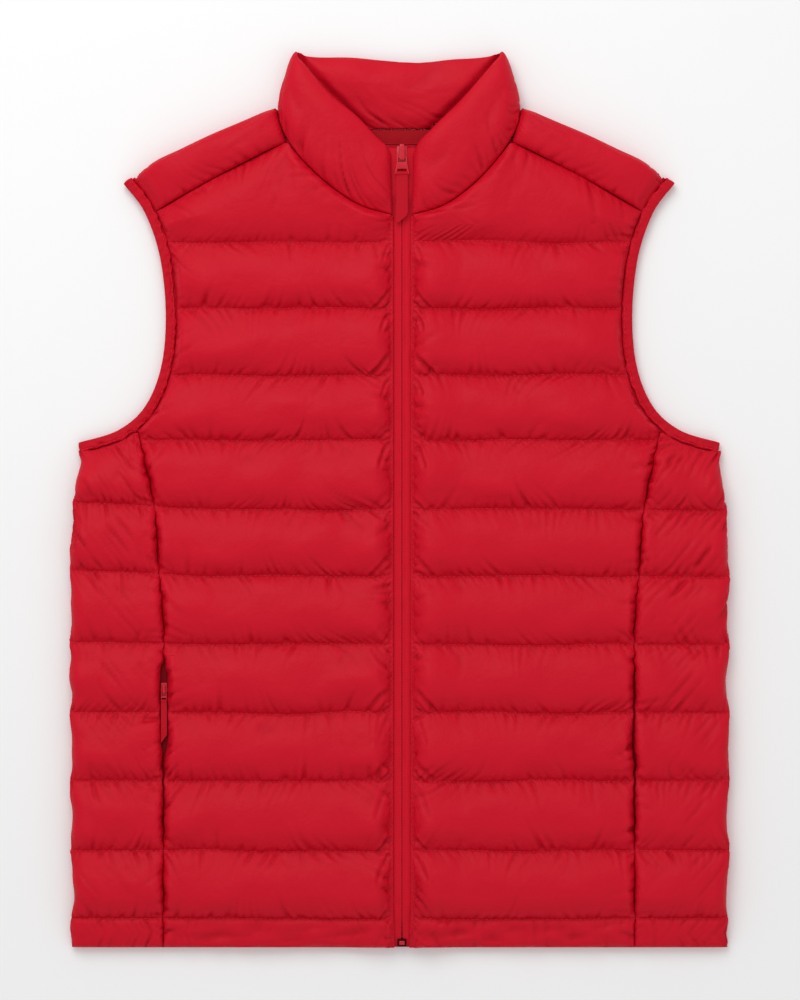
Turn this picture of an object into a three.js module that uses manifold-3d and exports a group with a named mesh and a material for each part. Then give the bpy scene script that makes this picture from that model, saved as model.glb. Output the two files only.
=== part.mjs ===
// A sleeveless padded jacket, a gilet, laid flat on its back with its zip done up.
// Millimetres. +X to the wearer's left, +Y towards the collar, +Z up from the surface it lies on.
// The origin is under the middle of the garment's outline, on that surface.
// "left" and "right" in the names are the wearer's.
import * as THREE from "three";
import { mergeVertices } from "three/addons/utils/BufferGeometryUtils.js";
import Module from "manifold-3d";

const wasm = await Module();
wasm.setup();

// ---- driving dimensions ----
const SEAM_GAP = 0.3; // between two pieces that are sewn together
const BODY = {
  bottom: -382, // the hem's edge
  hem: 23.8, // the turned-up hem under the lowest stitched line
  pitch: 57.6, // from one stitched line to the next
  channels: 10, // padded channels from the hem to the chest
  underarm: 7, // the channel at the foot of the armholes, counted from 0
  armpit: 58, // the top of the side seams
  zipX: 2.5, // the front zip lies this far to the wearer's left of the middle
};
const LEVEL = {
  middle: 12, // where the front and back layers meet
  open: 5, // the same at the hem and armholes, where only thin edges meet
  fall: 45, // the layers come down to the open edges over this distance
  apart: 0.7, // half the gap between the layers
};
const PAD = {
  stitched: 1.8, // both cloths and the wadding where they are stitched together
  front: 14, // the swell of a channel above its stitched lines
  side: 12.5,
  shoulder: 11,
  hem: 3.5,
  edge: 16, // the swell rises over this distance from a seam
  yoke: 26, // and over this distance from the highest stitched line of a front
  press: 1.35, // the crests below are pressed flat: they would swell this much more
  fold: 12, // the rounding of a side's fold
  foldLevel: 262, // beyond this the layers keep their level, out to the fold
  wall: 6, // thickness round the fold
  notch: 2.2, // a stitched line draws the fold in by this
};
const ZIP = {
  half: 8.2, // from the zip's middle to the edge of a front panel
  foot: -379, // the lower end of the tapes
  liftFrom: 24, // the fronts start to come down from the zip's level this far from its middle
  liftTo: 52,
  tape: 14, // from the middle to the hidden edge of a tape
  slit: 0.3, // half the gap between the tapes
  thick: 0.8,
  coilWidth: 5,
  coilThick: 1.7,
  lift: 3, // the fronts rise over the coil by this
  top: 299,
  collar: { level: 17.4, from: 247, to: 262 }, // the tapes rise to this level behind the collar
  partFrom: 284, // above this the tapes part towards the slider
};
const BINDING = { width: 8.6, thick: 3.2, turn: 3.5, innerTurn: 0.8, steps: 16 };
const NECK_TAPE = { half: 62, width: 12, thick: 1 };
const RED = 0xc8202f;
const TAPE_RED = 0xb81b2c;

const STITCHED_HEM = BODY.bottom + BODY.hem;
const CHEST_LINE = STITCHED_HEM + BODY.pitch * BODY.channels;

// ---- outlines, as half widths from the middle line ----
const SIDE_FOLD = [
  { y: -382, x: 279.5 },
  { y: -300, x: 281 },
  { y: -80, x: 281.5 },
  { y: 5, x: 278.5 },
  { y: 50, x: 272 },
];
const SIDE_SEAM = [
  { y: -382, x: 201 },
  { y: -127.8, x: 200 },
  { y: -70.2, x: 203.5 },
  { y: -12.6, x: 208 },
  { y: 58, x: 222.5 },
];
const ARMHOLE = [
  { x: 234, y: 268 },
  { x: 217, y: 245 },
  { x: 204, y: 207 },
  { x: 199, y: 158 },
  { x: 203, y: 113 },
  { x: 217, y: 79 },
  { x: 240, y: 59 },
  { x: 272, y: 49 },
];
// The neck seam, from the zip to the shoulder's fold.
const NECK = [
  { y: 242, x: 10 },
  { y: 248, x: 32 },
  { y: 260, x: 52 },
  { y: 275, x: 70 },
  { y: 291, x: 85 },
  { y: 304, x: 95 },
  { y: 331, x: 104.5 },
];
const SHOULDER_SEAM = [
  { y: 304, x: 98 },
  { y: 296, x: 114 },
  { y: 274, x: 157 },
  { y: 246, x: 207 },
];
const BACK_SEAM = [
  { y: 315, x: 84 },
  { y: 250, x: 207.5 },
];
const SHOULDER_FOLD = [
  { x: 105.2, y: 331 },
  { x: 150, y: 314.5 },
  { x: 184, y: 301 },
  { x: 207, y: 290 },
  { x: 224.5, y: 276 },
];
// The collar, from the zip round the fold to the middle of the back: the seam point, the top edge point,
// the level of the middle of its thickness, the way its outside faces (0 up, 180 down), and its swell.
const COLLAR = [
  { seamX: 12, seamY: 243.2, topX: 12.5, topY: 297, level: 19.2, turn: 0, outside: 2.5, inside: 1 },
  { seamX: 18, seamY: 244.8, topX: 15, topY: 303, level: 19.6, turn: 0, outside: 8, inside: 2.5 },
  { seamX: 32, seamY: 248.8, topX: 24, topY: 312, level: 20, turn: 0, outside: 11, inside: 3.5 },
  { seamX: 51.4, seamY: 260.6, topX: 40, topY: 328, level: 20, turn: 0, outside: 11, inside: 3.5 },
  { seamX: 69.3, seamY: 275.6, topX: 56, topY: 344, level: 20, turn: 0, outside: 11, inside: 3.5 },
  { seamX: 84.2, seamY: 291.6, topX: 70, topY: 359, level: 19.5, turn: 5, outside: 10.5, inside: 3.5 },
  { seamX: 93.6, seamY: 306, topX: 80, topY: 370, level: 18.5, turn: 15, outside: 9, inside: 3 },
  { seamX: 99.6, seamY: 321, topX: 86.5, topY: 378, level: 15.5, turn: 50, outside: 6, inside: 2.5 },
  { seamX: 100.5, seamY: 331.5, topX: 88, topY: 382, level: 11, turn: 90, outside: 4.5, inside: 2 },
  { seamX: 94.5, seamY: 324.5, topX: 85, topY: 381, level: 7.5, turn: 140, outside: 6, inside: 2.5 },
  { seamX: 82, seamY: 316, topX: 76, topY: 378.5, level: 6.5, turn: 180, outside: 6.5, inside: 6 },
  { seamX: 42, seamY: 316, topX: 40, topY: 376, level: 6.5, turn: 180, outside: 6.5, inside: 7 },
  { seamX: 0, seamY: 316, topX: 0, topY: 375, level: 6.5, turn: 180, outside: 6.5, inside: 7 },
];

// ---- small helpers ----
const clamp = (t) => Math.min(1, Math.max(0, t));
const smooth = (t) => clamp(t) ** 2 * (3 - 2 * clamp(t));
const lerp = THREE.MathUtils.lerp;
const point = (x, y, z) => new THREE.Vector3(x, y, z);

// A quarter-round swell that starts at a seam and is full after the given reach.
const swell = (distance, reach) => Math.sqrt(1 - (1 - clamp(distance / reach)) ** 2);

// The x of a table at y, on straight lines between its rows.
function widthAt(table, y) {
  const rows = [...table].sort((a, b) => a.y - b.y);
  const next = rows.findIndex((row) => row.y >= y);
  if (next === 0) return rows[0].x;
  if (next < 0) return rows.at(-1).x;
  const [low, high] = [rows[next - 1], rows[next]];
  return lerp(low.x, high.x, (y - low.y) / (high.y - low.y));
}

// The y at x of a line of points, on its stretch below the armhole's widest place.
function heightAt(line, x) {
  const narrowest = Math.min(...line.map((p) => p.x));
  const widest = line.findIndex((p) => p.x === narrowest);
  return widthAt(line.slice(widest).map((p) => ({ y: p.x, x: p.y })), x);
}

const armhole = new THREE.SplineCurve(ARMHOLE.map((p) => new THREE.Vector2(p.x, p.y)));
const bindingStations = Array.from({ length: BINDING.steps + 1 }, (_, i) => i / BINDING.steps);

// A place on the armhole's edge, moved in from it by a distance.
function armholePoint(t, inset) {
  const at = armhole.getPointAt(t);
  const along = armhole.getTangentAt(t);
  return new THREE.Vector2(at.x + along.y * inset, at.y - along.x * inset);
}

function armholeLine(inset) {
  return bindingStations.map((t) => armholePoint(t, inset));
}

const edgeOfArmhole = armholeLine(0);
const boundSeam = armholeLine(BINDING.width + SEAM_GAP);

function distanceToLine(line, x, y) {
  const at = point(x, y, 0);
  const near = point(0, 0, 0);
  let least = Infinity;
  for (let i = 1; i < line.length; i++) {
    const piece = new THREE.Line3(point(line[i - 1].x, line[i - 1].y, 0), point(line[i].x, line[i].y, 0));
    piece.closestPointToPoint(at, true, near);
    least = Math.min(least, near.distanceTo(at));
  }
  return least;
}

// The level at which the front and back layers meet.
function meeting(x, y) {
  const inland = Math.min(distanceToLine(edgeOfArmhole, Math.abs(x), y), y - BODY.bottom);
  return lerp(LEVEL.open, LEVEL.middle, smooth(inland / LEVEL.fall));
}

// A closed wall between two grids of points of the same size. A ring's last row joins its first.
function wall(outside, inside, ring = false) {
  const [rows, columns] = [outside.length, outside[0].length];
  const spots = [outside, inside].flat(2).flatMap((p) => [p.x, p.y, p.z]);
  const at = (layer, r, c) => (layer * rows + (r % rows)) * columns + c;
  const faces = [];
  const quad = (a, b, c, d) => faces.push(a, b, c, a, c, d);
  const spans = ring ? rows : rows - 1;
  for (let r = 0; r < spans; r++) {
    for (let c = 0; c < columns - 1; c++) {
      quad(at(0, r, c), at(0, r, c + 1), at(0, r + 1, c + 1), at(0, r + 1, c));
      quad(at(1, r, c), at(1, r + 1, c), at(1, r + 1, c + 1), at(1, r, c + 1));
    }
    quad(at(0, r, 0), at(0, r + 1, 0), at(1, r + 1, 0), at(1, r, 0));
    const e = columns - 1;
    quad(at(0, r, e), at(1, r, e), at(1, r + 1, e), at(0, r + 1, e));
  }
  for (let c = 0; c < columns - 1 && !ring; c++) {
    const e = rows - 1;
    quad(at(0, 0, c), at(1, 0, c), at(1, 0, c + 1), at(0, 0, c + 1));
    quad(at(0, e, c), at(0, e, c + 1), at(1, e, c + 1), at(1, e, c));
  }
  const made = new THREE.BufferGeometry();
  made.setAttribute("position", new THREE.Float32BufferAttribute(spots, 3));
  made.setIndex(faces);
  return facingOut(made);
}

// Turns every face round when they point inwards.
function facingOut(geometry) {
  const at = geometry.attributes.position;
  const index = geometry.index.array;
  const [a, b, c] = [point(0, 0, 0), point(0, 0, 0), point(0, 0, 0)];
  let volume = 0;
  for (let i = 0; i < index.length; i += 3) {
    a.fromBufferAttribute(at, index[i]);
    b.fromBufferAttribute(at, index[i + 1]);
    c.fromBufferAttribute(at, index[i + 2]);
    volume += a.dot(b.cross(c));
  }
  if (volume < 0) {
    for (let i = 0; i < index.length; i += 3) [index[i], index[i + 1]] = [index[i + 1], index[i]];
  }
  geometry.computeVertexNormals();
  return geometry;
}

// ---- rows of the padded panels ----
const CHANNEL_SHARES = [0.18, 0.5, 0.82, 1];
const ARMPIT_SHARE = (BODY.armpit - STITCHED_HEM) / BODY.pitch - BODY.underarm;
const UNDERARM_SHARES = [ARMPIT_SHARE, ARMPIT_SHARE + 0.1, 0.5, 0.82, 1];

// Every row of a panel from the hem up to the chest line, with its share of a channel's full swell.
function bodyRows() {
  const rows = [0, 0.25, 0.75, 1].map((share) => ({
    y: lerp(BODY.bottom, STITCHED_HEM, share),
    swell: (swell(share * (1 - share), 0.25) * PAD.hem) / PAD.front,
  }));
  for (let channel = 0; channel < BODY.channels; channel++) {
    const underarm = channel === BODY.underarm;
    for (const share of underarm ? UNDERARM_SHARES : CHANNEL_SHARES) {
      rows.push({
        y: STITCHED_HEM + BODY.pitch * (channel + share),
        swell: swell(Math.min(share, 1 - share), 0.5),
      });
    }
  }
  return rows;
}

// Places across a panel of the given width: both edges, a place beside each where the padding rises,
// and others spread between those.
function acrossPanel(width, inner) {
  const beside = Math.min(9, 0.15 * width);
  const middle = Array.from({ length: inner + 2 }, (_, i) => lerp(beside, width - beside, i / (inner + 1)));
  return [0, ...middle, width];
}

// The pocket's slit takes this much from the edge of each panel beside it.
// It is widest near its top, where the pocket's pull hangs.
const POCKET = { top: -132, bottom: -292, right: 3.8, left: 1.4 };
function slit(y, side) {
  const along = (POCKET.top - y) / (POCKET.top - POCKET.bottom);
  const half = side > 0 ? POCKET.left : POCKET.right;
  return along > 0 && along < 1 ? half * Math.sin(Math.PI * along ** 0.45) : 0;
}

// How far the front layer rises over the zip's coil.
function overZip(x) {
  const out = Math.abs(x - BODY.zipX);
  return ZIP.lift * (1 - smooth((out - ZIP.liftFrom) / (ZIP.liftTo - ZIP.liftFrom)));
}

const inFromZip = (side, half) => BODY.zipX + side * half;
const NECK_FOOT = NECK[0].y;

// The neck is centred on the zip at its foot and on the garment's middle at the shoulders.
const neckShift = (y) => BODY.zipX * (1 - smooth((y - NECK_FOOT) / 60));

// The outer edge of a front or back: the shoulder seam, then the armhole's binding, then the side seam.
function outerEdge(y, shoulderSeam) {
  if (y >= shoulderSeam.at(-1).y) return widthAt(shoulderSeam, y) - SEAM_GAP;
  if (y > BODY.armpit) return widthAt(boundSeam, y) - SEAM_GAP * 2;
  return widthAt(SIDE_SEAM, y) - SEAM_GAP / 2;
}

// ---- padded panels ----
function frontPanel(side) {
  const yoke = [228, 236, NECK_FOOT, 246, 253, 260, 267, 274, 282, 290, 296, 301.5];
  const outside = [];
  const inside = [];
  for (const { y, swell: channel } of [...bodyRows(), ...yoke.map((y) => ({ y }))]) {
    const neck = side * (widthAt(NECK, y) + SEAM_GAP) + neckShift(y);
    const start = y <= NECK_FOOT ? inFromZip(side, ZIP.half) : neck;
    const end = side * (outerEdge(y, SHOULDER_SEAM) - slit(y, side));
    const width = Math.abs(end - start);
    const line = acrossPanel(width, 2).map((d) => {
      const x = start + side * d;
      const fromSeams = swell(Math.min(d, width - d), PAD.edge);
      const fromLines = Math.min(y - CHEST_LINE, distanceToLine(SHOULDER_SEAM, Math.abs(x), y));
      const high = channel ?? swell(fromLines, PAD.yoke);
      return { x, high: high * fromSeams, level: meeting(x, y) + LEVEL.apart + overZip(x) };
    });
    outside.push(line.map((p) => point(p.x, y, p.level + PAD.stitched + PAD.front * p.high)));
    inside.push(line.map((p) => point(p.x, y, p.level)));
  }
  return wall(outside, inside);
}

// The swell of a channel that the garment's weight presses against the surface below.
const pressed = (high) => Math.min(1, PAD.press * high);

function backPanel() {
  const outside = [];
  const inside = [];
  const neckY = BACK_SEAM[0].y;
  const lastLine = CHEST_LINE + BODY.pitch;
  const yoke = [228, 240, BACK_SEAM.at(-1).y, 262, lastLine, 285, 296, 307, neckY - SEAM_GAP];
  const yokeRows = yoke.map((y) => ({
    y,
    swell: swell(Math.min(y - CHEST_LINE, Math.abs(y - lastLine), neckY - y), PAD.edge),
  }));
  for (const { y, swell: high } of [...bodyRows(), ...yokeRows]) {
    const edge = outerEdge(y, BACK_SEAM);
    const line = acrossPanel(2 * edge, 4).map((d) => {
      const x = d - edge;
      const fromSeams = swell(Math.min(d, 2 * edge - d), PAD.edge);
      return { x, level: meeting(x, y) - LEVEL.apart, high: pressed(high * fromSeams) };
    });
    const hang = (p) => (p.level - PAD.stitched) * (1 - p.high);
    outside.push(line.map((p) => point(p.x, y, hang(p))));
    inside.push(line.map((p) => point(p.x, y, p.level)));
  }
  return wall(outside, inside);
}

// A side panel goes from its front seam over the fold to the same place on the back.
function sidePanel(side) {
  const lastLine = STITCHED_HEM + BODY.pitch * (BODY.underarm - 1);
  const seamTop = BODY.armpit - 1;
  const rows = bodyRows().filter((row) => row.y <= lastLine + 1);
  const underarm = CHANNEL_SHARES.map((share) => ({
    y: lerp(lastLine, seamTop, share),
    swell: swell(Math.min(share, 1 - share), 0.5),
  }));
  const outside = [];
  const inside = [];
  for (const { y: seamY, swell: high } of [...rows, ...underarm]) {
    const share = clamp((seamY - lastLine) / (seamTop - lastLine));
    const fold = widthAt(SIDE_FOLD, seamY) - PAD.notch * (1 - high);
    const edgeTop = widthAt(SIDE_SEAM, seamY) + SEAM_GAP / 2 + slit(seamY, side);
    const edgeUnder = widthAt(SIDE_SEAM, seamY) + SEAM_GAP / 2;
    const topAt = (x) => Math.min(seamTop, heightAt(boundSeam, x) - 2 * SEAM_GAP);
    const yAt = (x) => (share > 0 ? lerp(lastLine, topAt(x), share) : seamY);
    const out = [];
    const into = [];
    const turned = fold - PAD.fold;
    const flat = (edge, shares) => shares.map((s) => lerp(edge, turned, s));
    const middle = (x) => meeting(Math.min(x, PAD.foldLevel), yAt(x));
    for (const x of flat(edgeTop, [0, 0.15, 0.5, 1])) {
      const rise = PAD.side * high * swell(x - edgeTop, PAD.edge);
      out.push(point(side * x, yAt(x), middle(x) + LEVEL.apart + PAD.stitched + rise));
      into.push(point(side * x, yAt(x), middle(x) + LEVEL.apart));
    }
    const crest = out.at(-1).z;
    const base = middle(turned);
    const under = (base - LEVEL.apart - PAD.stitched) * (1 - pressed(high));
    for (const angle of [50, 0, -50]) {
      const turn = THREE.MathUtils.degToRad(angle);
      const x = turned + PAD.fold * Math.cos(turn);
      const rise = angle > 0 ? crest - base : base - under;
      const innerX = turned + (PAD.fold - PAD.wall) * Math.cos(turn);
      out.push(point(side * x, yAt(x), base + rise * Math.sin(turn)));
      into.push(point(side * innerX, yAt(x), base + LEVEL.apart * Math.sin(turn)));
    }
    for (const x of flat(edgeUnder, [1, 0.5, 0.15, 0])) {
      const low = middle(x) - LEVEL.apart;
      const press = pressed(high * swell(x - edgeUnder, PAD.edge));
      out.push(point(side * x, yAt(x), (low - PAD.stitched) * (1 - press)));
      into.push(point(side * x, yAt(x), low));
    }
    outside.push(out);
    inside.push(into);
  }
  return wall(outside, inside);
}

// A shoulder panel goes from its front seam over the shoulder's fold to its seam on the back.
function shoulderPanel(side) {
  const fold = new THREE.SplineCurve(SHOULDER_FOLD.map((p) => new THREE.Vector2(p.x, p.y)));
  const stations = [304, 301.5, 296, 290, 282, 274, 267, 260, 253, 246.4];
  // Shares of the way from a seam to the fold, with the swell above and the pressing below.
  const across = [
    { share: 0, rise: 0, press: 0 },
    { share: 0.25, rise: 0.78, press: 1 },
    { share: 0.55, rise: 0.98, press: 1 },
    { share: 0.85, rise: 0.96, press: 0.64 },
  ];
  const outside = [];
  const inside = [];
  for (const seamY of stations) {
    const along = (stations[0] - seamY) / (stations[0] - stations.at(-1));
    const crest = fold.getPointAt(along);
    const front = new THREE.Vector2(widthAt(SHOULDER_SEAM, seamY) + 0.25, seamY + 0.4);
    const backY = lerp(BACK_SEAM[0].y, BACK_SEAM[1].y, along);
    const back = new THREE.Vector2(widthAt(BACK_SEAM, backY) + 0.25, backY + 0.4);
    const high = swell(Math.min(along, 1 - along), 0.16);
    const out = [];
    const into = [];
    const middle = (p) => meeting(p.x, p.y);
    for (const { share, rise } of across) {
      const p = front.clone().lerp(crest, share);
      const crown = PAD.shoulder * high * rise;
      out.push(point(side * p.x, p.y, middle(p) + LEVEL.apart + PAD.stitched + crown));
      into.push(point(side * p.x, p.y, middle(p) + LEVEL.apart));
    }
    const base = middle(front.clone().lerp(crest, across.at(-1).share));
    const pulled = crest.clone().lerp(front, lerp(0.08, 0.02, high));
    const innerFold = crest.clone().lerp(front, 0.12);
    out.push(point(side * pulled.x, pulled.y, base));
    into.push(point(side * innerFold.x, innerFold.y, base));
    for (const { share, press: pressing } of [...across].reverse()) {
      const p = back.clone().lerp(crest, share);
      const low = middle(p) - LEVEL.apart;
      const press = pressed(high * pressing);
      out.push(point(side * p.x, p.y, (low - PAD.stitched) * (1 - press)));
      into.push(point(side * p.x, p.y, low));
    }
    outside.push(out);
    inside.push(into);
  }
  return wall(outside, inside);
}

// The stand collar: one padded band from the zip round the back of the neck to the zip again.
function collar() {
  const shares = [0, 0.12, 0.36, 0.64, 0.88, 1];
  const round = [
    ...COLLAR.map((station) => ({ ...station, side: 1 })),
    ...COLLAR.slice(0, -1)
      .reverse()
      .map((station) => ({ ...station, side: -1 })),
  ];
  const outside = [];
  const inside = [];
  for (const s of round) {
    const shift = s.turn < 90 ? neckShift(s.seamY) : 0;
    const seam = point(s.side * s.seamX + shift, s.seamY, s.level);
    const top = point(s.side * s.topX + shift, s.topY, s.level);
    const turn = THREE.MathUtils.degToRad(s.turn);
    const way = point(s.side * Math.sin(turn), 0, Math.cos(turn));
    const out = [];
    const into = [];
    for (const share of shares) {
      const at = seam.clone().lerp(top, share);
      const full = swell(Math.min(share, 1 - share), 0.36);
      out.push(at.clone().addScaledVector(way, lerp(PAD.stitched / 2, s.outside, full)));
      into.push(at.clone().addScaledVector(way, -lerp(PAD.stitched / 2, s.inside, full)));
    }
    outside.push(out);
    inside.push(into);
  }
  return wall(outside, inside);
}

// The tape that covers the back neck seam on the inside.
function neckTape() {
  const top = BACK_SEAM[0].y - SEAM_GAP;
  const level = LEVEL.middle - LEVEL.apart + SEAM_GAP;
  const grid = (z) =>
    [top - NECK_TAPE.width, top].map((y) => [-NECK_TAPE.half, NECK_TAPE.half].map((x) => point(x, y, z)));
  return wall(grid(level + NECK_TAPE.thick), grid(level));
}

// The binding of one armhole: a band down the front edge, round under the arm and back up behind.
function armholeBinding(side) {
  const outside = [];
  const inside = [];
  // Both edges of the band at a station, at a height from where the layers meet, moved on along the armhole.
  const across = (t, height, onward = 0) => {
    const along = armhole.getTangentAt(t).multiplyScalar(onward);
    return [0, BINDING.width].map((inset) => {
      const p = armholePoint(t, inset).add(along);
      return point(side * p.x, p.y, LEVEL.open + height);
    });
  };
  const [face, lining] = [LEVEL.apart + BINDING.thick, LEVEL.apart];
  for (const t of bindingStations) {
    outside.push(across(t, face));
    inside.push(across(t, lining));
  }
  outside.push(across(1, 0, BINDING.turn));
  inside.push(across(1, 0, BINDING.innerTurn));
  for (const t of [...bindingStations].reverse()) {
    outside.push(across(t, -face));
    inside.push(across(t, -lining));
  }
  outside.push(across(0, 0, -BINDING.turn));
  inside.push(across(0, 0, -BINDING.innerTurn));
  return wall(outside, inside, true);
}

// ---- the front zip ----
const SLIDER = { half: 4.9, bottom: 283, top: 300.5, plate: 1.3 };
const PULL = {
  hingeY: 291,
  wire: 0.7, // radius of the bar that a tab turns on
  aboveDeck: 1.35, // from the slider's upper plate to that bar
  length: 14.5,
  half: 5.9,
  thick: 1.4,
  neck: 3.2, // half the width of a tab at its bar
  strip: { length: 42, half: 4.9, thick: 1.6 },
};

// The top of the zip's tapes: they lie with the body and rise with the collar.
function zipLevel(y) {
  const body = meeting(BODY.zipX, y) + ZIP.lift + LEVEL.apart - SEAM_GAP;
  const { level, from, to } = ZIP.collar;
  return lerp(body, level, smooth((y - from) / (to - from)));
}

const hemRows = bodyRows().map((row) => row.y);
// Rows where the zip bends: towards the hem and behind the collar.
const zipRows = [
  ZIP.foot,
  ...hemRows.filter((y) => y > ZIP.foot && y < BODY.bottom + 2 * LEVEL.fall),
  -120,
  60,
  220,
  ...[0, 0.33, 0.67, 1].map((share) => lerp(ZIP.collar.from, ZIP.collar.to, share)),
  ZIP.partFrom,
];

const zipTop = zipLevel(SLIDER.bottom);

function zipTape(side) {
  const rows = [...zipRows, ZIP.top];
  const parted = (y) => ZIP.slit + 0.13 * Math.max(0, y - ZIP.partFrom);
  const grid = (drop) =>
    rows.map((y) => [parted(y), ZIP.tape].map((d) => point(inFromZip(side, d), y, zipLevel(y) - drop)));
  return wall(grid(0), grid(ZIP.thick));
}

function zipCoil() {
  const rows = zipRows.filter((y) => y > ZIP.foot + 6 && y < ZIP.partFrom);
  const top = ZIP.thick + 0.2;
  const grid = (drop) =>
    rows.map((y) =>
      [-1, 1].map((side) => point(inFromZip(side, ZIP.coilWidth / 2), y, zipLevel(y) - top - drop)),
    );
  return wall(grid(0), grid(ZIP.coilThick));
}

// A geometry as a solid for joining and cutting.
function solid(geometry) {
  const bare = geometry.clone();
  bare.deleteAttribute("normal");
  bare.deleteAttribute("uv");
  const merged = mergeVertices(bare, 1e-3);
  return new wasm.Manifold(
    new wasm.Mesh({
      numProp: 3,
      vertProperties: new Float32Array(merged.attributes.position.array),
      triVerts: new Uint32Array(merged.index.array),
    }),
  );
}

function geometryOf(made) {
  const mesh = made.getMesh();
  const geometry = new THREE.BufferGeometry();
  geometry.setAttribute("position", new THREE.Float32BufferAttribute(mesh.vertProperties, 3));
  geometry.setIndex(new THREE.BufferAttribute(mesh.triVerts, 1));
  geometry.computeVertexNormals();
  return geometry;
}

function block(x, y, z) {
  const [wide, long, high] = [x, y, z].map(([low, top]) => top - low);
  const [midX, midY, midZ] = [x, y, z].map(([low, top]) => (low + top) / 2);
  return solid(new THREE.BoxGeometry(wide, long, high).translate(midX, midY, midZ));
}

// A flat plate of the given outline, centred on a level.
function plate(outline, thick, level) {
  const shape = new THREE.Shape(outline.map(([x, y]) => new THREE.Vector2(x, y)));
  const made = new THREE.ExtrudeGeometry(shape, { depth: thick, bevelEnabled: false });
  return solid(made.translate(0, 0, level - thick / 2));
}

// A wire along X, as the bar that a pull tab turns on.
function wire(radius, half, y, z) {
  const upright = new THREE.CylinderGeometry(radius, radius, 2 * half, 12);
  return solid(upright.rotateZ(Math.PI / 2).translate(0, y, z));
}

// A slider: two plates joined by a post where the tapes part, and a crown over the upper plate.
function slider() {
  const { half, bottom, top } = SLIDER;
  const { hingeY } = PULL;
  const tapeLow = zipTop - ZIP.thick - 0.2 - ZIP.coilThick;
  const wedge = [
    [-half * 0.78, bottom],
    [half * 0.78, bottom],
    [half, lerp(bottom, top, 0.45)],
    [half * 0.86, top],
    [-half * 0.86, top],
    [-half, lerp(bottom, top, 0.45)],
  ];
  const upper = zipTop + SEAM_GAP + SLIDER.plate / 2;
  const lower = tapeLow - SEAM_GAP - SLIDER.plate / 2;
  const deck = upper + SLIDER.plate / 2;
  const crown = block([-1.5, 1.5], [hingeY - 2.3, hingeY + 9], [deck - 0.5, deck + 3.7]);
  const tunnel = block([-2, 2], [hingeY - 1, hingeY + 7.6], [deck + 0.15, deck + 2.5]);
  return plate(wedge, SLIDER.plate, upper)
    .add(plate(wedge, SLIDER.plate, lower))
    .add(block([-1.1, 1.1], [top - 4, top - 0.6], [lower, upper]))
    .add(crown.subtract(tunnel));
}

// A pull tab: a trapezoid with a bar under the crown, a window round the crown and a slot for the strip.
function pullTab(hingeZ) {
  const { hingeY, length, half, neck, thick } = PULL;
  const foot = hingeY - length;
  const outline = [
    [-half, foot],
    [half, foot],
    [half, foot + 2],
    [neck, hingeY - 6.5],
    [neck, hingeY],
    [-neck, hingeY],
    [-neck, hingeY - 6.5],
    [-half, foot + 2],
  ];
  const through = [hingeZ - thick, hingeZ + thick];
  const slot = block([-half + 1.5, half - 1.5], [foot + 1.6, foot + 4.4], through);
  const window = block([-2.1, 2.1], [hingeY - 5.6, hingeY + 2], through);
  const open = plate(outline, thick, hingeZ).subtract(slot).subtract(window);
  return open.add(wire(PULL.wire, neck, hingeY, hingeZ));
}

// The strip sewn through a pull tab's slot, with a slanted end.
function pullStrip(hingeZ) {
  const { length, half, thick } = PULL.strip;
  const bar = PULL.hingeY - PULL.length + 0.8;
  const loop = block([-half + 0.8, half - 0.8], [bar - 2.4, bar + 2.6], [hingeZ - 1.7, hingeZ + 1.7]);
  const around = block([-half - 1, half + 1], [bar - 1.2, bar + 1.2], [hingeZ - 1.05, hingeZ + 1.05]);
  const end = bar - length;
  const outline = [
    [-half, bar - 2],
    [-half, end],
    [-half + 2.5, end + 0.4],
    [half - 1, end + 6.5],
    [half, end + 9],
    [half, bar - 2],
  ];
  return loop.subtract(around).add(plate(outline, thick, hingeZ));
}


// The clip at the foot of the zip, folded round the ends of both tapes.
function zipFoot() {
  const level = zipLevel(ZIP.foot);
  const clip = block([-3.8, 3.8], [ZIP.foot - 2, ZIP.foot + 4.6], [level - 2.4, level + 2.2]);
  const tapes = block([-6, 6], [ZIP.foot - SEAM_GAP, ZIP.foot + 9], [level - 1.3, level + 1.1]);
  return clip.subtract(tapes);
}

// ---- pocket zips, in the slits of the side seams ----
const POCKET_ZIP = { half: 5.5, thick: 0.7, rows: 8, tucked: 4 };
const POCKET_PULL = {
  hingeY: -163,
  half: 2.9,
  wire: 0.6,
  aboveDeck: 1.35,
  length: 9,
  thick: 1.2,
  strip: { short: 29, long: 36, half: 2.7, thick: 1.2 },
};
const seamX = (y) => widthAt(SIDE_SEAM, y);

function pocketZip(side) {
  const { half, thick, tucked } = POCKET_ZIP;
  const rows = Array.from({ length: POCKET_ZIP.rows + 1 }, (_, i) =>
    lerp(POCKET.bottom + tucked, POCKET.top - tucked, i / POCKET_ZIP.rows),
  );
  const grid = (z) =>
    rows.map((y) => [-half, half].map((d) => point(side * seamX(y) + d, y, meeting(seamX(y), y) + z)));
  return wall(grid(thick / 2), grid(-thick / 2));
}

const pocketDeck = LEVEL.middle + POCKET_ZIP.thick / 2 + SEAM_GAP + SLIDER.plate;

// A pocket's slider shows only above its tape.
function pocketSlider() {
  const { hingeY, half } = POCKET_PULL;
  const deck = block([-half, half], [hingeY - 6, hingeY + 7], [pocketDeck - SLIDER.plate, pocketDeck]);
  const crown = block([-1.1, 1.1], [hingeY - 1.9, hingeY + 5.5], [pocketDeck - 0.5, pocketDeck + 3.3]);
  const tunnel = block([-2, 2], [hingeY - 0.9, hingeY + 4.4], [pocketDeck + 0.2, pocketDeck + 2.4]);
  return deck.add(crown.subtract(tunnel));
}

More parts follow.
